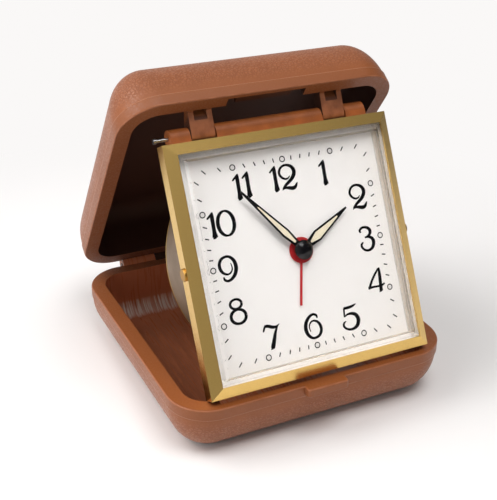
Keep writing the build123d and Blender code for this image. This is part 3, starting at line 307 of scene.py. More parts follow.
class ClockCaseFinish(bpy.types.PropertyGroup):
    """Brown moulded shells with a leather grain."""

    brown: colour_setting("Brown", "Main colour of the shells", 148, 80, 32)
    dark_brown: colour_setting("Dark brown", "Colour in the hollows of the grain", 118, 62, 36)
    # worn and lit: rubbed rims, worn crests and specks, and a painted highlight along the rims' rounded
    # edges
    worn_and_lit_edge: colour_setting("Worn edge", "Colour where the rims are rubbed", 170, 104, 68)
    # the light line at the band's step is a painted highlight
    step_highlight: colour_setting(
        "Step edge", "Colour of the light line where the band ends", 196, 132, 96)
    lining_brown: colour_setting("Inside brown", "Colour of the smooth inside", 152, 90, 62)
    # near white: the scuffs' colour is mostly a painted highlight
    scuffed_and_lit: colour_setting("Scuffs", "Colour of the fine scuffs inside the base", 255, 236, 226)
    # painted shade: the lid's inside is the base's lining brown darkened
    lid_lining_shade: share_setting(
        "Lid lining", "Brightness of the lid's inside, as a share of the base's", 0.16)
    roughness: share_setting("Roughness", "Roughness of the moulded plastic", 0.42)
    sheen: share_setting("Sheen", "Pale sheen along the sides seen at a slant", 0.15)
    lid_opening: FloatProperty(
        name="Lid opening", description="How far the lid is opened at rest", subtype="ANGLE",
        unit="ROTATION", default=math.radians(55.398),
    )
    band_depth: length_setting(
        "Smooth band", "Height of the smooth band under each rim", 3.25 * MM)
    step_width: length_setting(
        "Step width", "Width of the small step where the band ends", 0.24 * MM)
    # where the painted highlight of the scuffs runs across the base's floor
    lit_scuff_line: length_setting(
        "Scuff line", "How far behind the middle the base is scuffed inside", 35.0 * MM)
    # reach of the painted shade in corners and slots
    crevice_shade_depth: length_setting(
        "Crevices", "Width of the corners and slots that gather dirt", 2.4 * MM)
    grain_size: length_setting(
        "Grain size", "Width of one pebble of the leather grain", 0.55 * MM)
    grain_depth: length_setting("Grain depth", "Depth of the leather grain", 0.05 * MM, 6)


class ClockMetalFinish(bpy.types.PropertyGroup):
    """Gilt frame, lacquered movement case, brass and steel."""

    gilt: colour_setting("Gilt", "Colour of the gilt frame", 230, 194, 116)
    gilt_worn: colour_setting("Worn gilt", "Colour where the gilding has dulled", 192, 148, 76)
    drum: colour_setting("Movement case", "Olive grey lacquer of the round case", 134, 113, 92)
    brass: colour_setting("Brass", "Colour of the movement's brass", 216, 182, 112)
    steel: colour_setting("Steel", "Colour of pins, screws and arbors", 190, 190, 192)
    blued: colour_setting("Blued steel", "Colour of the springs", 88, 98, 128)
    brush_width: length_setting("Brush line", "Width of one brush line on the metal", 0.09 * MM, 6)


class ClockDialPrint(bpy.types.PropertyGroup):
    """White dial, its printed figures and minute track, and the hands."""

    dial: colour_setting("Dial", "Colour of the dial", 253, 249, 246)
    ink: colour_setting("Ink", "Colour of the printed figures", 14, 13, 16)
    luminous: colour_setting("Luminous paint", "Colour of the hands' filling", 244, 232, 204)
    red: colour_setting("Red", "Colour of the alarm hand", 188, 34, 38)
    print_right: length_setting(
        "Print to the right", "Middle of the print from the dial's middle", 0.15 * MM)
    print_down: length_setting(
        "Print down", "Middle of the print below the dial's middle", 0.55 * MM)
    pen_weight: FloatProperty(
        name="Pen weight", description="Width of the figures' strokes, as a share of their drawing",
        min=0.5, max=2, default=1.12,
    )
    ink_height: length_setting("Ink height", "How far the print stands on the dial", 0.02 * MM, 6)
    track_half_side: length_setting(
        "Minute track", "Half the side of the square minute track", 25.3 * MM)
    tick_length: length_setting(
        "Minute mark length", "Length of a minute mark across the track", 1.1 * MM)
    tick_width: length_setting("Minute mark width", "Width of a minute mark", 0.32 * MM)
    ring_radius: length_setting(
        "Hour ring", "Outer radius of the ring round an hour dot", 0.86 * MM)
    ring_line: length_setting("Hour ring line", "Width of the line of an hour ring", 0.27 * MM)
    ring_height: length_setting(
        "Hour ring height", "How far the hour rings stand on the dial", 0.07 * MM, 6)


class ClockStage(bpy.types.PropertyGroup):
    """Pale floor, soft light and the camera."""

    floor_colour: colour_setting("Floor", "Colour of the floor", 250, 248, 247)
    shadow_reach: length_setting(
        "Shadow reach", "Distance past which the floor is seen as white", 0.19)
    key_power: power_setting("Main light", "Power of the large light behind on the left", 3.3)
    overhead_power: power_setting(
        "Overhead light", "Power of the soft light above the front", 4.7)
    side_power: power_setting("Side light", "Power of the soft light on the left", 2.4)
    room_level: FloatProperty(
        name="Room light", description="Level of the light from all round", min=0, default=0.26,
    )
    lens: FloatProperty(
        name="Lens", description="Focal length of the camera", subtype="DISTANCE_CAMERA",
        default=72.221,
    )


# Shells

def shell_place(finish, node):
    """Coordinates and normal in which the rim is at Z 0 and Z grows away from the rim."""
    if node == "base_shell":
        turned = {"scale": (1, 1, -1)}
        rim = (0, 0, CASE_RIM_HEIGHT)
    else:
        opening = bpy.context.scene.clock_case.lid_opening
        hinge = Vector(JOINTS["lid_hinge"]["pos_m"])
        turned = {"rotation": (opening, 0, 0)}
        rim = hinge - Matrix.Rotation(opening, 3, "X") @ hinge - Vector((0, 0, CASE_RIM_HEIGHT))
    place = finish.moved(finish.place, location=rim, **turned)
    normal = finish.moved(finish.coordinates["Normal"], kind="NORMAL", **turned)
    return place, normal


def leather_grain(finish, place):
    """Height of the grain: pebbles with creases between them, fine grit and soft lumps."""
    size = bpy.context.scene.clock_case.grain_size
    pebbles = finish.cells(place, size, "SMOOTH_F1")
    creases = finish.ramp(finish.cells(place, size / 0.62, "DISTANCE_TO_EDGE"), 0.0, 0.28)
    grit = finish.noise(place, size / 3.2, 2.0)
    lumps = finish.noise(place, 2.2 * size, 2.0)
    grain = finish.math("MULTIPLY_ADD", pebbles, -0.9, creases)
    grain = finish.math("MULTIPLY_ADD", grit, 0.45, grain)
    return finish.math("MULTIPLY_ADD", lumps, 0.5, grain)


def grained_colour(finish, mottle, grain, grained):
    """Mottled brown, darker in the hollows of the grain and paler on its crests."""
    case = bpy.context.scene.clock_case
    hollow = finish.times(finish.ramp(grain, 0.1, 0.9, 0.35, 0.0), grained)
    crest = finish.times(finish.ramp(grain, 0.5, 1.2), grained)
    skin = finish.blend(mottle, case.brown, toned(case.brown, 0.9))
    skin = finish.blend(hollow, skin, case.dark_brown)
    return finish.blend(finish.times(crest, 0.35), skin, case.worn_and_lit_edge)


def rim_colour(finish, node, skin, depth, outside):
    """The skin with its darker smooth band, its flat rim, toned darker on the lid as painted shade, and
    painted shade past the rim.
    """
    case = bpy.context.scene.clock_case
    band = finish.times(outside, finish.ramp(depth, case.band_depth, 0.9 * case.band_depth))
    flat_rim = finish.times(finish.ramp(depth, 0.3 * MM, 0.1 * MM), outside)
    # painted shade on what stands past the rim, such as the lid's hinge lugs
    shade_past_rim = finish.ramp(depth, -0.2 * MM, -1.2 * MM, 0.0, 0.8)
    skin = finish.blend(finish.times(band, 0.5), skin, toned(case.brown, 0.8))
    # the lid's flat rim is toned darker as painted shade; the base's keeps nearly its brown
    skin = finish.blend(flat_rim, skin, toned(case.brown, RIM_TONES_AND_LID_SHADE[node]))
    return finish.blend(shade_past_rim, skin, toned(case.dark_brown, 0.4))


def base_lining(finish, place, depth):
    """Colour and roughness of the base's smooth inside, with its streaks, a painted reflection toward the
    hinge, and scuffs painted as a highlight.
    """
    case = bpy.context.scene.clock_case
    back = finish.split(place)[1]

    # faint streaks left by the mould, and paler toward the hinge as a painted reflection of light off the
    # floor's curve up to the back wall
    drawn = finish.moved(place, rotation=(0, 0, 0.2), scale=(1, 0.06, 0.06))
    streaks = finish.ramp(finish.noise(drawn, 0.7 * MM, 3.0), 0.35, 0.75)
    skin = finish.blend(streaks, case.lining_brown, toned(case.lining_brown, 1.35))
    # painted reflection where the floor curves up toward the back wall
    back_reflection = finish.ramp(back, 22 * MM, 34 * MM)
    skin = finish.blend(back_reflection, skin, toned(case.lining_brown, 1.9))

    # a row of fine scuffs across the floor, painted near white: real scratches with a painted highlight on
    # them
    from_line = finish.math("SUBTRACT", back, case.lit_scuff_line)
    from_line = finish.math("ADD", from_line, finish.times(streaks, 1.5 * MM))
    row = finish.ramp(finish.math("ABSOLUTE", from_line), 3.0 * MM, 0.6 * MM)
    drawn = finish.moved(place, scale=(1, 0.03, 0.03))
    scratches = finish.ramp(finish.noise(drawn, 0.45 * MM, 2.0), 0.38, 0.62, 0.25, 1.0)
    on_floor = finish.ramp(depth, CASE_RIM_HEIGHT - 6 * MM, CASE_RIM_HEIGHT - 5 * MM)
    lit_scuffs = finish.times(finish.times(row, scratches), on_floor)
    skin = finish.blend(lit_scuffs, skin, case.scuffed_and_lit)
    return skin, finish.ramp(streaks, 0.0, 1.0, 0.34, 0.22)


def rubbed_and_lit_edges(finish, place, normal, depth, outside):
    """How far the outer edge of the rim is painted lighter, from 0 to 1: partly rubbed wear in patches,
    partly a painted highlight along the rounded arris.
    """
    upward = finish.math("ABSOLUTE", finish.split(normal)[2])
    on_edge = finish.times(finish.ramp(upward, 0.12, 0.4), finish.ramp(upward, 0.95, 0.7))
    near_rim = finish.ramp(depth, 0.9 * MM, 0.5 * MM)
    patches = finish.ramp(finish.noise(place, 3 * MM, 3.0), 0.3, 0.7, 0.4, 0.9)
    return finish.times(finish.times(patches, finish.times(on_edge, near_rim)), outside)


def painted_crevice_shade(finish):
    """Painted shade in the corners and slots, from 0 to 1, taken from ambient occlusion."""
    corners = finish.nodes.new("ShaderNodeAmbientOcclusion")
    corners.inputs["Distance"].default_value = bpy.context.scene.clock_case.crevice_shade_depth
    return finish.ramp(corners.outputs["AO"], 0.5, 0.05, 0.0, 0.9)


def shell_finish(node):
    """Leather grain on the outside below the band, smooth rim and inside."""
    case = bpy.context.scene.clock_case
    finish = Finish(node + " brown grained plastic")
    place, normal = shell_place(finish, node)
    depth = finish.split(place)[2]
    facing = finish.vector("SUBTRACT", place, SHELL_MIDDLE)
    facing = finish.vector("DOT_PRODUCT", normal, facing)
    outside = finish.ramp(facing, 0.0, INSIDE_FADE)
    inside = finish.ramp(facing, 0.0, -INSIDE_FADE)
    below_band = finish.ramp(depth, case.band_depth, case.band_depth + GRAIN_FADE)
    grained = finish.times(outside, below_band)
    grain = leather_grain(finish, place)

    # relief: the grain, a fine unevenness everywhere, and the small step under the band
    step = finish.ramp(depth, case.band_depth - case.step_width, case.band_depth)
    step = finish.times(outside, step)
    past_step = finish.ramp(depth, case.band_depth + case.step_width, case.band_depth)
    unevenness = finish.times(finish.noise(place, 0.5 * MM, 2.0), 0.05)
    height = finish.math("ADD", finish.times(grain, grained), unevenness)
    finish.relief(finish.math("MULTIPLY_ADD", step, -2.0, height), case.grain_depth)

    # colour
    mottle = finish.ramp(finish.noise(place, 9 * MM, 4.0), 0.3, 0.7)
    skin = grained_colour(finish, mottle, grain, grained)
    skin = rim_colour(finish, node, skin, depth, outside)
    if node == "base_shell":
        lining, lining_roughness = base_lining(finish, place, depth)
    else:
        # painted shade: the lid's inside is the base's lining brown darkened
        lining = toned(case.lining_brown, case.lid_lining_shade)
        lining_roughness = LID_LINING_ROUGHNESS
    # the rim's rounded edges painted lighter: partly rubbed wear, partly a painted highlight
    rubbed = rubbed_and_lit_edges(finish, place, normal, depth, outside)
    # a painted highlight along the band's step
    step_highlight_line = finish.times(finish.times(step, past_step), 0.8)
    skin = finish.blend(inside, skin, lining)
    skin = finish.blend(rubbed, skin, case.worn_and_lit_edge)
    skin = finish.blend(step_highlight_line, skin, case.step_highlight)
    # painted shade in corners and slots
    skin = finish.blend(painted_crevice_shade(finish), skin, toned(case.dark_brown, 0.12))

    # gloss: the crests are polished by handling
    shine = finish.ramp(grain, 0.1, 1.0, case.roughness + 0.14, case.roughness - 0.06)
    shine = finish.math("MULTIPLY_ADD", mottle, 0.05, shine)
    shine = finish.times(shine, finish.math("SUBTRACT", 1.0, inside))
    finish.set(
        Base_Color=skin,
        Roughness=finish.math("ADD", finish.times(inside, lining_roughness), shine),
        Specular_IOR_Level=0.5,
        Sheen_Weight=finish.times(outside, case.sheen),
        Sheen_Roughness=0.4,
    )
    return finish.material


def plain_plastic_finish():
    """The smooth brown plastic of the hinge bar, with a few rubbed specks."""
    case = bpy.context.scene.clock_case
    finish = Finish("hinge bar brown plastic")
    mottle = finish.noise(finish.place, 5 * MM, 4.0)
    skin = finish.blend(finish.ramp(mottle, 0.3, 0.7), toned(case.brown, 1.45), case.brown)
    speck = finish.ramp(finish.noise(finish.place, 0.6 * MM, 2.0), 0.62, 0.78)
    skin = finish.blend(finish.times(speck, 0.4), skin, case.worn_and_lit_edge)
    finish.set(Base_Color=skin, Roughness=finish.ramp(mottle, 0.2, 0.8, 0.5, 0.6))
    finish.relief(finish.noise(finish.place, 0.45 * MM, 3.0), 0.03 * MM)
    return finish.material


# Metals, paints and the crystal

def metal_finish(name, colour, worn, roughness, grain=(1, 1, 1), wear=1):
    """Metal with fine brush lines, dulled patches and small pits.

    The grain draws the lines out along a way of the dial where its share is small.
    """
    finish = Finish(name)
    flat = finish.moved(finish.place, rotation=DIAL_PLACE.inverted().to_euler())
    lines = finish.moved(flat, scale=grain)
    brush = finish.noise(lines, bpy.context.scene.clock_metal.brush_width, 3.0)
    patch = finish.ramp(finish.noise(flat, 4 * MM, 4.0), 0.42, 0.72)
    dull = finish.math("MULTIPLY_ADD", brush, 0.35, finish.times(patch, 0.5 * wear))
    pits = finish.ramp(finish.cells(flat, 1.1 * MM), 0.12, 0.05, 0, wear)
    finish.set(
        Base_Color=finish.blend(finish.math("MAXIMUM", dull, pits), colour, worn),
        Metallic=1.0,
        Roughness=finish.math("MULTIPLY_ADD", dull, 0.22, roughness),
    )
    finish.relief(finish.math("SUBTRACT", brush, pits), 0.004 * MM)
    return finish.material


def lacquer_finish(name, colour, roughness):
    """Satin lacquer on metal: faint orange peel, a few rubbed specks, uneven gloss."""
    finish = Finish(name)
    cloud = finish.noise(finish.place, 7 * MM, 4.0)
    speck = finish.ramp(finish.noise(finish.place, 0.7 * MM, 2.0), 0.66, 0.8)
    skin = finish.blend(finish.ramp(cloud, 0.3, 0.7), colour, toned(colour, 0.82))
    skin = finish.blend(finish.times(speck, 0.35), skin, toned(colour, 1.2))
    finish.set(
        Base_Color=skin,
        Metallic=0.55,
        Roughness=finish.ramp(cloud, 0.2, 0.8, roughness - 0.06, roughness + 0.08),
    )
    finish.relief(finish.noise(finish.place, 0.5 * MM, 2.0), 0.01 * MM)
    return finish.material


def paint_finish(name, colour, roughness, orange_peel=0.006 * MM, mottle=0.1, glint=0.5):
    """Opaque paint: slight tone changes, uneven gloss and a fine surface."""
    finish = Finish(name)
    cloud = finish.noise(finish.place, 3 * MM, 4.0)
    shade = finish.ramp(cloud, 0.3, 0.7)
    finish.set(
        Base_Color=finish.blend(shade, colour, toned(colour, 1 - mottle)),
        Roughness=finish.ramp(cloud, 0.2, 0.8, roughness - 0.05, roughness + 0.06),
        Specular_IOR_Level=glint,
    )
    finish.relief(finish.noise(finish.place, 0.25 * MM, 2.0), orange_peel)
    return finish.material


def crystal_finish():
    """Clear acrylic that casts no shadow, with side walls that bend the light less."""
    finish = Finish("clear acrylic crystal")
    haze = finish.noise(finish.place, 2.5 * MM, 3.0)
    finish.set(
        Base_Color=finish.blend(haze, (1.0, 1.0, 1.0), (0.995, 0.995, 0.99)),
        Roughness=0.0,
        IOR=1.49,
        Transmission_Weight=1.0,
    )
    finish.relief(finish.noise(finish.place, 14 * MM, 0.0), 0.001 * MM, 0.2)
    out = tuple(DIAL_PLACE.to_3x3().col[2])
    slant = finish.vector("DOT_PRODUCT", finish.coordinates["Normal"], out)
    wall = finish.ramp(finish.math("ABSOLUTE", slant), 0.97, 0.6, 0.0, 0.65)
    path = finish.nodes.new("ShaderNodeLightPath").outputs
    clear = finish.nodes.new("ShaderNodeBsdfTransparent").outputs["BSDF"]
    through = finish.math("MAXIMUM", path["Is Shadow Ray"], wall)
    finish.show(finish.mixed(through, finish.shader.outputs["BSDF"], clear))
    return finish.material


# Printed figures. Each stroke is a row of (across, up, width) in millimetres from the
# figure's middle, drawn along the middle of the pen's path.

ONE = [
    [(-0.98, 1.86, 0.38), (-0.45, 2.28, 0.5), (0.35, 2.95, 0.5), (0.9, 3.48, 0.12)],
    [(0.72, 3.45, 0.42), (0.52, 2.3, 0.95), (0.46, 0.4, 0.94), (0.42, -1.6, 1.0),
     (0.42, -2.7, 1.35), (0.4, -3.1, 1.3)],
    [(-0.2, -3.38, 0.2), (0.4, -3.12, 0.6), (1.02, -2.86, 0.2)],
]
TWO = [
    [(0.68, 0.32, 0.2), (0.1, -0.25, 0.42), (-0.75, -0.38, 0.5), (-1.75, 0.2, 0.6),
     (-2.3, 1.3, 0.66), (-1.85, 2.5, 0.62), (-0.8, 3.2, 0.58), (0.4, 3.22, 0.62),
     (1.5, 2.68, 0.85), (2.1, 1.65, 1.0), (1.95, 0.55, 1.0), (1.1, -0.55, 0.9),
     (0.0, -1.35, 0.8), (-1.0, -2.05, 0.7), (-1.95, -2.95, 0.5)],
    [(-2.2, -3.2, 0.2), (-1.3, -2.75, 0.5), (-0.2, -2.85, 0.8), (0.9, -3.1, 0.95),
     (1.75, -2.85, 0.8), (2.3, -2.1, 0.5), (2.6, -1.7, 0.12)],
]
THREE = [
    [(-1.5, 1.9, 0.5), (-1.7, 2.55, 0.6), (-1.0, 3.15, 0.62), (0.0, 3.22, 0.62),
     (1.0, 2.8, 0.8), (1.5, 1.95, 0.9), (1.15, 1.05, 0.75), (0.35, 0.55, 0.55),
     (-0.5, 0.42, 0.4)],
    [(-0.5, 0.42, 0.35), (0.7, 0.4, 0.6), (1.65, -0.1, 0.85), (2.0, -1.15, 0.98),
     (1.5, -2.5, 0.85), (0.3, -3.2, 0.66), (-1.0, -3.0, 0.6), (-1.85, -2.1, 0.62),
     (-1.85, -1.3, 0.62), (-1.2, -0.75, 0.3)],
]
FOUR = [
    [(1.75, 3.1, 0.5), (0.4, 1.75, 0.6), (-0.9, 0.15, 0.62), (-2.0, -1.6, 0.72)],
    [(-2.45, -1.75, 0.66), (-1.0, -1.62, 0.56), (0.6, -1.7, 0.52), (2.0, -1.62, 0.56),
     (2.95, -1.25, 0.42)],
    [(1.95, 3.35, 0.4), (1.85, 1.6, 0.86), (1.62, -1.2, 0.92), (1.5, -2.6, 0.95),
     (1.45, -3.1, 1.0)],
    [(0.85, -3.35, 0.2), (1.45, -3.08, 0.5), (2.05, -2.78, 0.2)],
]
FIVE = [
    [(-1.75, 2.85, 0.66), (-0.4, 2.82, 0.74), (0.8, 2.95, 0.66), (1.75, 3.25, 0.4),
     (2.2, 3.4, 0.12)],
    [(-1.7, 2.95, 0.5), (-1.85, 1.6, 0.5), (-1.98, 0.5, 0.42)],
    [(-2.0, 0.5, 0.25), (-1.0, 1.02, 0.5), (0.3, 1.05, 0.72), (1.5, 0.5, 0.92),
     (2.1, -0.75, 1.08), (1.7, -2.2, 0.98), (0.6, -3.0, 0.78), (-0.8, -3.15, 0.62),
     (-2.1, -2.6, 0.58), (-2.65, -1.75, 0.6), (-2.4, -1.05, 0.5), (-1.7, -0.7, 0.2)],
]
SIX = [
    [(1.75, 1.9, 0.35), (1.6, 2.65, 0.6), (0.7, 3.12, 0.62), (-0.5, 2.7, 0.75),
     (-1.6, 1.6, 0.9), (-2.15, 0.0, 1.0), (-1.9, -1.7, 0.9), (-0.9, -2.9, 0.7),
     (0.3, -3.18, 0.62), (1.6, -2.7, 0.72), (2.32, -1.5, 0.8), (2.25, -0.1, 0.78),
     (1.5, 1.0, 0.62), (0.35, 1.42, 0.46), (-0.6, 0.95, 0.4), (-1.05, 0.0, 0.34),
     (-0.85, -1.35, 0.2)],
]
SEVEN = [
    [(-2.55, 1.55, 0.35), (-2.15, 2.4, 0.56), (-1.65, 3.3, 0.3)],
    [(-2.0, 2.85, 0.6), (-1.0, 2.85, 0.8), (0.3, 2.3, 0.8), (1.4, 2.25, 0.56),
     (2.4, 2.8, 0.14)],
    [(1.75, 2.45, 0.4), (0.85, 0.8, 0.72), (0.1, -1.1, 0.98), (-0.55, -2.7, 1.1),
     (-0.75, -3.15, 1.0)],
    [(-1.3, -3.4, 0.2), (-0.7, -3.12, 0.5), (-0.1, -2.8, 0.2)],
]

# Middle of each hour's figure from the print's middle, and the figures in it with their places
NUMERALS = {
    "12": ((-0.65, 20.35), [("1", -2.8, 0.0), ("2", 1.3, -0.05)]),
    "1": ((11.3, 19.75), [("1", 0.0, 0.0)]),
    "2": ((20.6, 11.6), [("2", 0.0, 0.0)]),
    "3": ((20.9, -0.2), [("3", 0.0, 0.0)]),
    "4": ((21.0, -12.0), [("4", 0.0, 0.0)]),
    "5": ((11.6, -20.3), [("5", 0.0, 0.0)]),
    "6": ((-0.3, -20.1), [("6", 0.0, 0.0)]),
    "7": ((-12.2, -20.05), [("7", 0.0, 0.0)]),
    "8": ((-20.9, -11.6), [("8", 0.0, 0.0)]),
    "9": ((-21.0, -0.25), [("9", 0.0, 0.0)]),
    "10": ((-20.5, 11.4), [("1", -2.85, 0.0), ("0", 1.22, 0.0)]),
    "11": ((-12.95, 20.1), [("1", -1.4, -0.1), ("1", 1.42, 0.1)]),
}

def ring_stroke(across, up, half_width, half_height, side_width, top_width):
    """An upright oval as a closed stroke, with one width at its sides and one at its top."""
    points = []
    for step in range(RING_STEPS + 1):
        turn = 2 * math.pi * step / RING_STEPS
        weight = abs(math.cos(turn))
        width = top_width + (side_width - top_width) * weight
        right = across + half_width * math.cos(turn)
        points.append((right, up + half_height * math.sin(turn), width))
    return points


FIGURES = {
    "0": [ring_stroke(0.0, 0.0, 2.28, 3.22, 0.95, 0.5)],
    "1": ONE,
    "2": TWO,
    "3": THREE,
    "4": FOUR,
    "5": FIVE,
    "6": SIX,
    "7": SEVEN,
    "8": [
        ring_stroke(0.0, 1.95, 1.62, 1.25, 0.66, 0.55),
        ring_stroke(0.15, -1.35, 2.12, 1.85, 0.8, 0.62),
    ],
    "9": [[(-x, -y, width) for x, y, width in stroke] for stroke in SIX],
}


def smooth_row(points):
    """More points on a smooth line through the given ones."""
    rows = []
    ends = [points[0]] + list(points) + [points[-1]]
    for before, start, end, after in zip(ends, ends[1:], ends[2:], ends[3:]):
        for step in range(STROKE_STEPS):
            t = step / STROKE_STEPS
            rows.append(tuple(
                0.5 * (2 * b + (c - a) * t + (2 * a - 5 * b + 4 * c - d) * t**2
                       + (3 * b - a - 3 * c + d) * t**3)
                for a, b, c, d in zip(before, start, end, after)
            ))
    rows.append(points[-1])
    return rows


def stroke_faces(points, vertices, faces):
    """Adds one pen stroke to a mesh's lists, as a flat ribbon facing out of the dial."""
    first = len(vertices)
    for number, (x, y, width) in enumerate(points):
        before = points[max(number - 1, 0)]
        after = points[min(number + 1, len(points) - 1)]
        along = Vector((after[0] - before[0], after[1] - before[1])).normalized()
        side = Vector((-along.y, along.x)) * width / 2
        vertices.append(((x - side.x) * MM, (y - side.y) * MM, 0.0))
        vertices.append(((x + side.x) * MM, (y + side.y) * MM, 0.0))
    for number in range(len(points) - 1):
        low = first + 2 * number
        faces.append((low, low + 2, low + 3, low + 1))


def print_on_dial(name, vertices, faces, height, ink):
    """Adds a flat print to the dial, at a height over its front."""
    dial = bpy.context.scene.clock_dial
    mesh = bpy.data.meshes.new(name)
    mesh.from_pydata(vertices, [], faces)
    middle = Matrix.Translation((dial.print_right, -dial.print_down, height))
    mesh.transform(DIAL_PLACE @ middle)
    mesh.materials.append(ink)
    mesh.update()
    piece = bpy.data.objects.new(name, mesh)
    bpy.context.scene.collection.objects.link(piece)
    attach(piece, "clock")


# The stage

def lay_floor(stage):
    """A pale floor that keeps the clock's shadow, and is seen as white away from it."""
    mesh = bpy.data.meshes.new("floor")
    corners = [
        (-FLOOR_REACH, -FLOOR_REACH, 0),
        (FLOOR_REACH, -FLOOR_REACH, 0),
        (FLOOR_REACH, FLOOR_REACH, 0),
        (-FLOOR_REACH, FLOOR_REACH, 0),
    ]
    mesh.from_pydata(corners, [], [(0, 1, 2, 3)])
    finish = Finish("pale floor")
    speckle = finish.noise(finish.place, 25 * MM, 2.0)
    tone = finish.blend(speckle, stage.floor_colour, toned(stage.floor_colour, 0.99))
    finish.set(Base_Color=tone, Roughness=0.7, Specular_IOR_Level=0.2)
    white = finish.nodes.new("ShaderNodeEmission")
    white.inputs["Color"].default_value = opaque(stage.floor_colour)

    # mirrored metal sees the floor darker to the right of the clock
    path = finish.nodes.new("ShaderNodeLightPath").outputs
    mirrored = finish.ramp(finish.split(finish.place)[0], 20 * MM, 250 * MM, 1.0, 0.15)
    mirrored = finish.times(path["Is Glossy Ray"], mirrored)
    seen = finish.math("MAXIMUM", path["Is Camera Ray"], mirrored)
    seen = finish.math("MAXIMUM", seen, path["Is Transmission Ray"])
    away = finish.vector("LENGTH", finish.place)
    away = finish.ramp(away, stage.shadow_reach / 2, stage.shadow_reach)
    share = finish.times(seen, away)
    finish.show(finish.mixed(share, finish.shader.outputs["BSDF"], white.outputs["Emission"]))
    mesh.materials.append(finish.material)
    floor = bpy.data.objects.new("floor", mesh)
    bpy.context.scene.collection.objects.link(floor)


def hang_light(name, place, side, power):
    """A soft square light of that side, turned to the clock."""
    lamp = bpy.data.lights.new(name, "AREA")
    lamp.shape = "SQUARE"
    lamp.size = side
    lamp.energy = power
    light = bpy.data.objects.new(name, lamp)
    light.location = place
    light.rotation_euler = (Vector(place) - CLOCK_MIDDLE).to_track_quat("Z", "Y").to_euler()
    bpy.context.scene.collection.objects.link(light)


def light_room(scene, stage):
    """A white room: seen as white, and lighting softly from all round."""
    world = bpy.data.worlds.new("white room")
    world.use_nodes = True
    room = Recipe(world.node_tree)
    output = room.nodes.new("ShaderNodeOutputWorld")
    soft = room.nodes.new("ShaderNodeBackground")
    soft.inputs["Color"].default_value = opaque(ROOM_COLOUR)
    soft.inputs["Strength"].default_value = stage.room_level
    shown = room.nodes.new("ShaderNodeBackground")
    shown.inputs["Color"].default_value = opaque(stage.floor_colour)
    path = room.nodes.new("ShaderNodeLightPath").outputs
    seen = room.math("MAXIMUM", path["Is Camera Ray"], path["Is Glossy Ray"])
    seen = room.math("MAXIMUM", seen, path["Is Transmission Ray"])
    surface = room.mixed(seen, soft.outputs["Background"], shown.outputs["Background"])
    room.links.new(surface, output.inputs["Surface"])

    # mirrored metal sees the room darker in front of the clock, overhead and to the right
    toward = room.coordinates["Generated"]
    across, _, upward = room.split(toward)
    behind = room.vector("DOT_PRODUCT", toward, BEHIND_ON_LEFT)
    behind = room.ramp(behind, -0.85, 0.5, 0.02, 0.8)
    above = room.ramp(upward, 0.45, 0.95, 1.0, 0.75)
    aside = room.ramp(across, 0.3, 0.8, 1.0, 0.3)
    mirrored = room.times(behind, room.times(above, aside))
    strength = room.math("MAXIMUM", mirrored, path["Is Camera Ray"])
    room.feed(strength, shown.inputs["Strength"])
    scene.world = world


def place_camera(scene, stage):
    """The camera, at the photograph's viewing angle."""
    camera_data = bpy.data.cameras.new("camera")
    camera_data.sensor_fit = "HORIZONTAL"
    camera_data.sensor_width = SENSOR_WIDTH
    camera_data.lens = stage.lens
    camera_data.dof.use_dof = False
    camera = bpy.data.objects.new("camera", camera_data)
    ahead = CAMERA_AHEAD.normalized()
    right = ahead.cross(CAMERA_UP).normalized()
    up = right.cross(ahead)
    turn = Matrix((right, up, -ahead)).transposed().to_4x4()
    turn.translation = CAMERA_PLACE
    camera.matrix_world = turn
    scene.collection.objects.link(camera)
    scene.camera = camera


# Operators

class DressCase(bpy.types.Operator):
    """Give the shells their grained plastic, and the hinge bar, catch strip and pin theirs"""

    bl_idname = "travel_clock.dress_case"
    bl_label = "Dress the Case"

    def execute(self, context):
        case = context.scene.clock_case
        for node in ("base_shell", "lid_shell"):
            give(node, shell_finish(node))
        give("hinge_bar", plain_plastic_finish())
        soften_edges("hinge_bar", 0.12 * MM)
        shaded = toned(case.dark_brown, 0.35)
        give("catch_strip", paint_finish("brown catch strip", shaded, 0.5, glint=0.3))
        dulled = toned(context.scene.clock_metal.steel, 0.2)
        give("case_hinge_pin", metal_finish("dulled hinge pin", dulled, dulled, 0.5))
        return {"FINISHED"}


class GildFrame(bpy.types.Operator):
    """Gild the square frame and its pips"""

    bl_idname = "travel_clock.gild_frame"
    bl_label = "Gild the Frame"

    def execute(self, context):
        metal = context.scene.clock_metal
        gilt = metal_finish(
            "lacquered gilt", metal.gilt, metal.gilt_worn, 0.2, grain=(0.12, 0.12, 1), wear=0.15)
        aged = toned(metal.gilt_worn, 0.45)
        give("bezel", gilt)
        soften_edges("bezel", 0.14 * MM, segments=3)
        give("side_pips", metal_finish("aged gilt pips", metal.gilt_worn, aged, 0.34))
        return {"FINISHED"}


class GlazeCrystal(bpy.types.Operator):
    """Glaze the frame with the clear box crystal"""

    bl_idname = "travel_clock.glaze_crystal"
    bl_label = "Glaze the Crystal"

    def execute(self, context):
        give("crystal", crystal_finish())
        soften_edges("crystal", 0.15 * MM)
        return {"FINISHED"}


class PaintDial(bpy.types.Operator):
    """Paint the dial and its hour dots white"""

    bl_idname = "travel_clock.paint_dial"
    bl_label = "Paint the Dial"

    def execute(self, context):
        white = context.scene.clock_dial.dial
        give("dial", paint_finish("white dial", white, 0.55, 0.002 * MM, mottle=0.02))
        dots = paint_finish("luminous dots", toned(white, 0.93), 0.8, 0.02 * MM)
        give("hour_dots", dots)
        return {"FINISHED"}


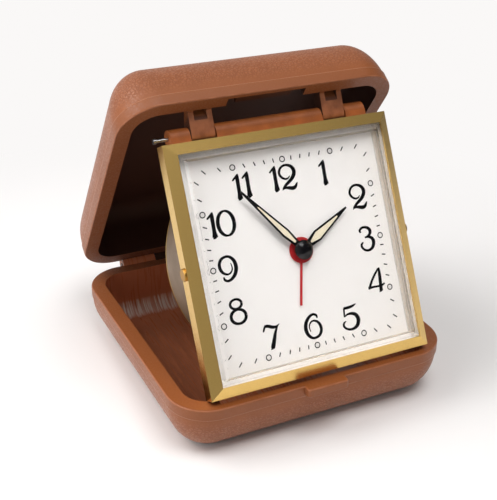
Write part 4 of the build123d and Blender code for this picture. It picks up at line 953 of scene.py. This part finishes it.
class PrintNumerals(bpy.types.Operator):
    """Print the twelve hour figures on the dial"""

    bl_idname = "travel_clock.print_numerals"
    bl_label = "Print the Numerals"

    def execute(self, context):
        dial = context.scene.clock_dial
        ink = paint_finish("black printing ink", dial.ink, 0.6, glint=0.06)
        for hour, (middle, figures) in NUMERALS.items():
            vertices = []
            faces = []
            for figure, across, up in figures:
                for stroke in FIGURES[figure]:
                    moved = [
                        (x + middle[0] + across, y + middle[1] + up, width * dial.pen_weight)
                        for x, y, width in smooth_row(stroke)
                    ]
                    stroke_faces(moved, vertices, faces)
            print_on_dial("numeral_" + hour, vertices, faces, dial.ink_height, ink)
        return {"FINISHED"}


class PrintMinuteTrack(bpy.types.Operator):
    """Print the square minute track with its marks and hour rings"""

    bl_idname = "travel_clock.print_minute_track"
    bl_label = "Print the Minute Track"

    def execute(self, context):
        dial = context.scene.clock_dial
        ink = bpy.data.materials["black printing ink"]
        half_mark = dial.tick_length / 2
        mark_width = dial.tick_width / MM
        ring_middle = (dial.ring_radius - dial.ring_line / 2) / MM
        ring_width = dial.ring_line / MM
        marks = []
        mark_faces = []
        rings = []
        ring_faces = []
        for minute in range(60):
            turn = math.radians(6 * minute)
            ray = Vector((math.sin(turn), math.cos(turn)))
            reach = 1 / max(abs(ray.x), abs(ray.y))
            if minute % 5:
                inner = ray * (dial.track_half_side - half_mark) * reach / MM
                outer = ray * (dial.track_half_side + half_mark) * reach / MM
                mark = [(inner.x, inner.y, mark_width), (outer.x, outer.y, mark_width)]
                stroke_faces(mark, marks, mark_faces)
            else:
                centre = ray * dial.track_half_side * reach / MM
                ring = ring_stroke(
                    centre.x, centre.y, ring_middle, ring_middle, ring_width, ring_width)
                stroke_faces(ring, rings, ring_faces)
        print_on_dial("minute_marks", marks, mark_faces, dial.ink_height, ink)
        print_on_dial("hour_rings", rings, ring_faces, dial.ring_height, ink)
        return {"FINISHED"}


class PaintHands(bpy.types.Operator):
    """Paint the hands and the hub cap"""

    bl_idname = "travel_clock.paint_hands"
    bl_label = "Paint the Hands"

    def execute(self, context):
        dial = context.scene.clock_dial
        black = paint_finish("black enamel hands", dial.ink, 0.4, glint=0.12)
        luminous = paint_finish("luminous filling", dial.luminous, 0.75, 0.02 * MM)
        for hand in ("minute_hand", "hour_hand"):
            give(hand, black)
            give(hand + "_lume", luminous)
        cap = paint_finish("glossy black hub cap", dial.ink, 0.1, 0.001 * MM, glint=0.4)
        give("hub_cap", cap)
        give("alarm_hand", paint_finish("red enamel alarm hand", dial.red, 0.38))
        return {"FINISHED"}


class FinishBack(bpy.types.Operator):
    """Lacquer the movement case and brush its brass rear cover"""

    bl_idname = "travel_clock.finish_back"
    bl_label = "Finish the Back"

    def execute(self, context):
        metal = context.scene.clock_metal
        give("case_drum", lacquer_finish("olive grey lacquer", metal.drum, 0.42))
        cover = metal_finish(
            "brass rear cover", metal.gilt, metal.gilt_worn, 0.3, grain=(0.05, 1, 1))
        give("rear_cover", cover)
        return {"FINISHED"}


class FinishMovement(bpy.types.Operator):
    """Finish every remaining piece by its slot: brass, gilt keys and knobs, steel, springs"""

    bl_idname = "travel_clock.finish_movement"
    bl_label = "Finish the Movement"

    def execute(self, context):
        metal = context.scene.clock_metal
        dark_steel = toned(metal.steel, 0.6)
        by_slot = {
            "movement_brass": metal_finish(
                "brushed movement brass", metal.brass, metal.gilt_worn, 0.26, grain=(0.05, 1, 1)),
            "gilt_brass": metal_finish(
                "gilt keys and knobs", metal.gilt, metal.gilt_worn, 0.22, grain=(0.3, 0.3, 1)),
            "steel": metal_finish(
                "bright steel", metal.steel, dark_steel, 0.24, grain=(0.1, 1, 1)),
            "spring_steel": metal_finish(
                "blued steel", metal.blued, dark_steel, 0.22, grain=(1, 1, 0.2)),
        }
        for node in frame["nodes"]:
            if node not in DRESSED:
                give(node, by_slot[SLOTS[node]])
        return {"FINISHED"}


class SetStage(bpy.types.Operator):
    """Set the clock on a pale floor with soft light and the camera"""

    bl_idname = "travel_clock.set_stage"
    bl_label = "Set the Stage"

    def execute(self, context):
        stage = context.scene.clock_stage
        lay_floor(stage)
        hang_light("key_light", *KEY_LIGHT, stage.key_power)
        hang_light("overhead_light", *OVERHEAD_LIGHT, stage.overhead_power)
        hang_light("side_light", *SIDE_LIGHT, stage.side_power)
        light_room(context.scene, stage)
        place_camera(context.scene, stage)
        context.scene.view_settings.view_transform = "Standard"
        return {"FINISHED"}


class TravelClockPanel(bpy.types.Panel):
    """The travel clock's pieces and finishes"""

    bl_idname = "VIEW3D_PT_travel_clock"
    bl_label = "Travel Clock"
    bl_space_type = "VIEW_3D"
    bl_region_type = "UI"
    bl_category = "Travel Clock"

    def draw(self, context):
        for operator in OPERATORS:
            self.layout.operator(operator.bl_idname)
        for name, group in GROUPS.items():
            box = self.layout.box()
            for setting in group.__annotations__:
                box.prop(getattr(context.scene, name), setting)


OPERATORS = (
    DressCase,
    GildFrame,
    GlazeCrystal,
    PaintDial,
    PrintNumerals,
    PrintMinuteTrack,
    PaintHands,
    FinishBack,
    FinishMovement,
    SetStage,
)
GROUPS = {
    "clock_case": ClockCaseFinish,
    "clock_metal": ClockMetalFinish,
    "clock_dial": ClockDialPrint,
    "clock_stage": ClockStage,
}


def register():
    for name, group in GROUPS.items():
        bpy.utils.register_class(group)
        setattr(bpy.types.Scene, name, PointerProperty(type=group))
    for operator in OPERATORS:
        bpy.utils.register_class(operator)
    bpy.utils.register_class(TravelClockPanel)


def unregister():
    bpy.utils.unregister_class(TravelClockPanel)
    for operator in reversed(OPERATORS):
        bpy.utils.unregister_class(operator)
    for name, group in GROUPS.items():
        delattr(bpy.types.Scene, name)
        bpy.utils.unregister_class(group)


def main():
    register()
    bpy.ops.travel_clock.dress_case()
    bpy.ops.travel_clock.gild_frame()
    bpy.ops.travel_clock.glaze_crystal()
    bpy.ops.travel_clock.paint_dial()
    bpy.ops.travel_clock.print_numerals()
    bpy.ops.travel_clock.print_minute_track()
    bpy.ops.travel_clock.paint_hands()
    bpy.ops.travel_clock.finish_back()
    bpy.ops.travel_clock.finish_movement()
    bpy.ops.travel_clock.set_stage()


if __name__ == "__main__":
    main()
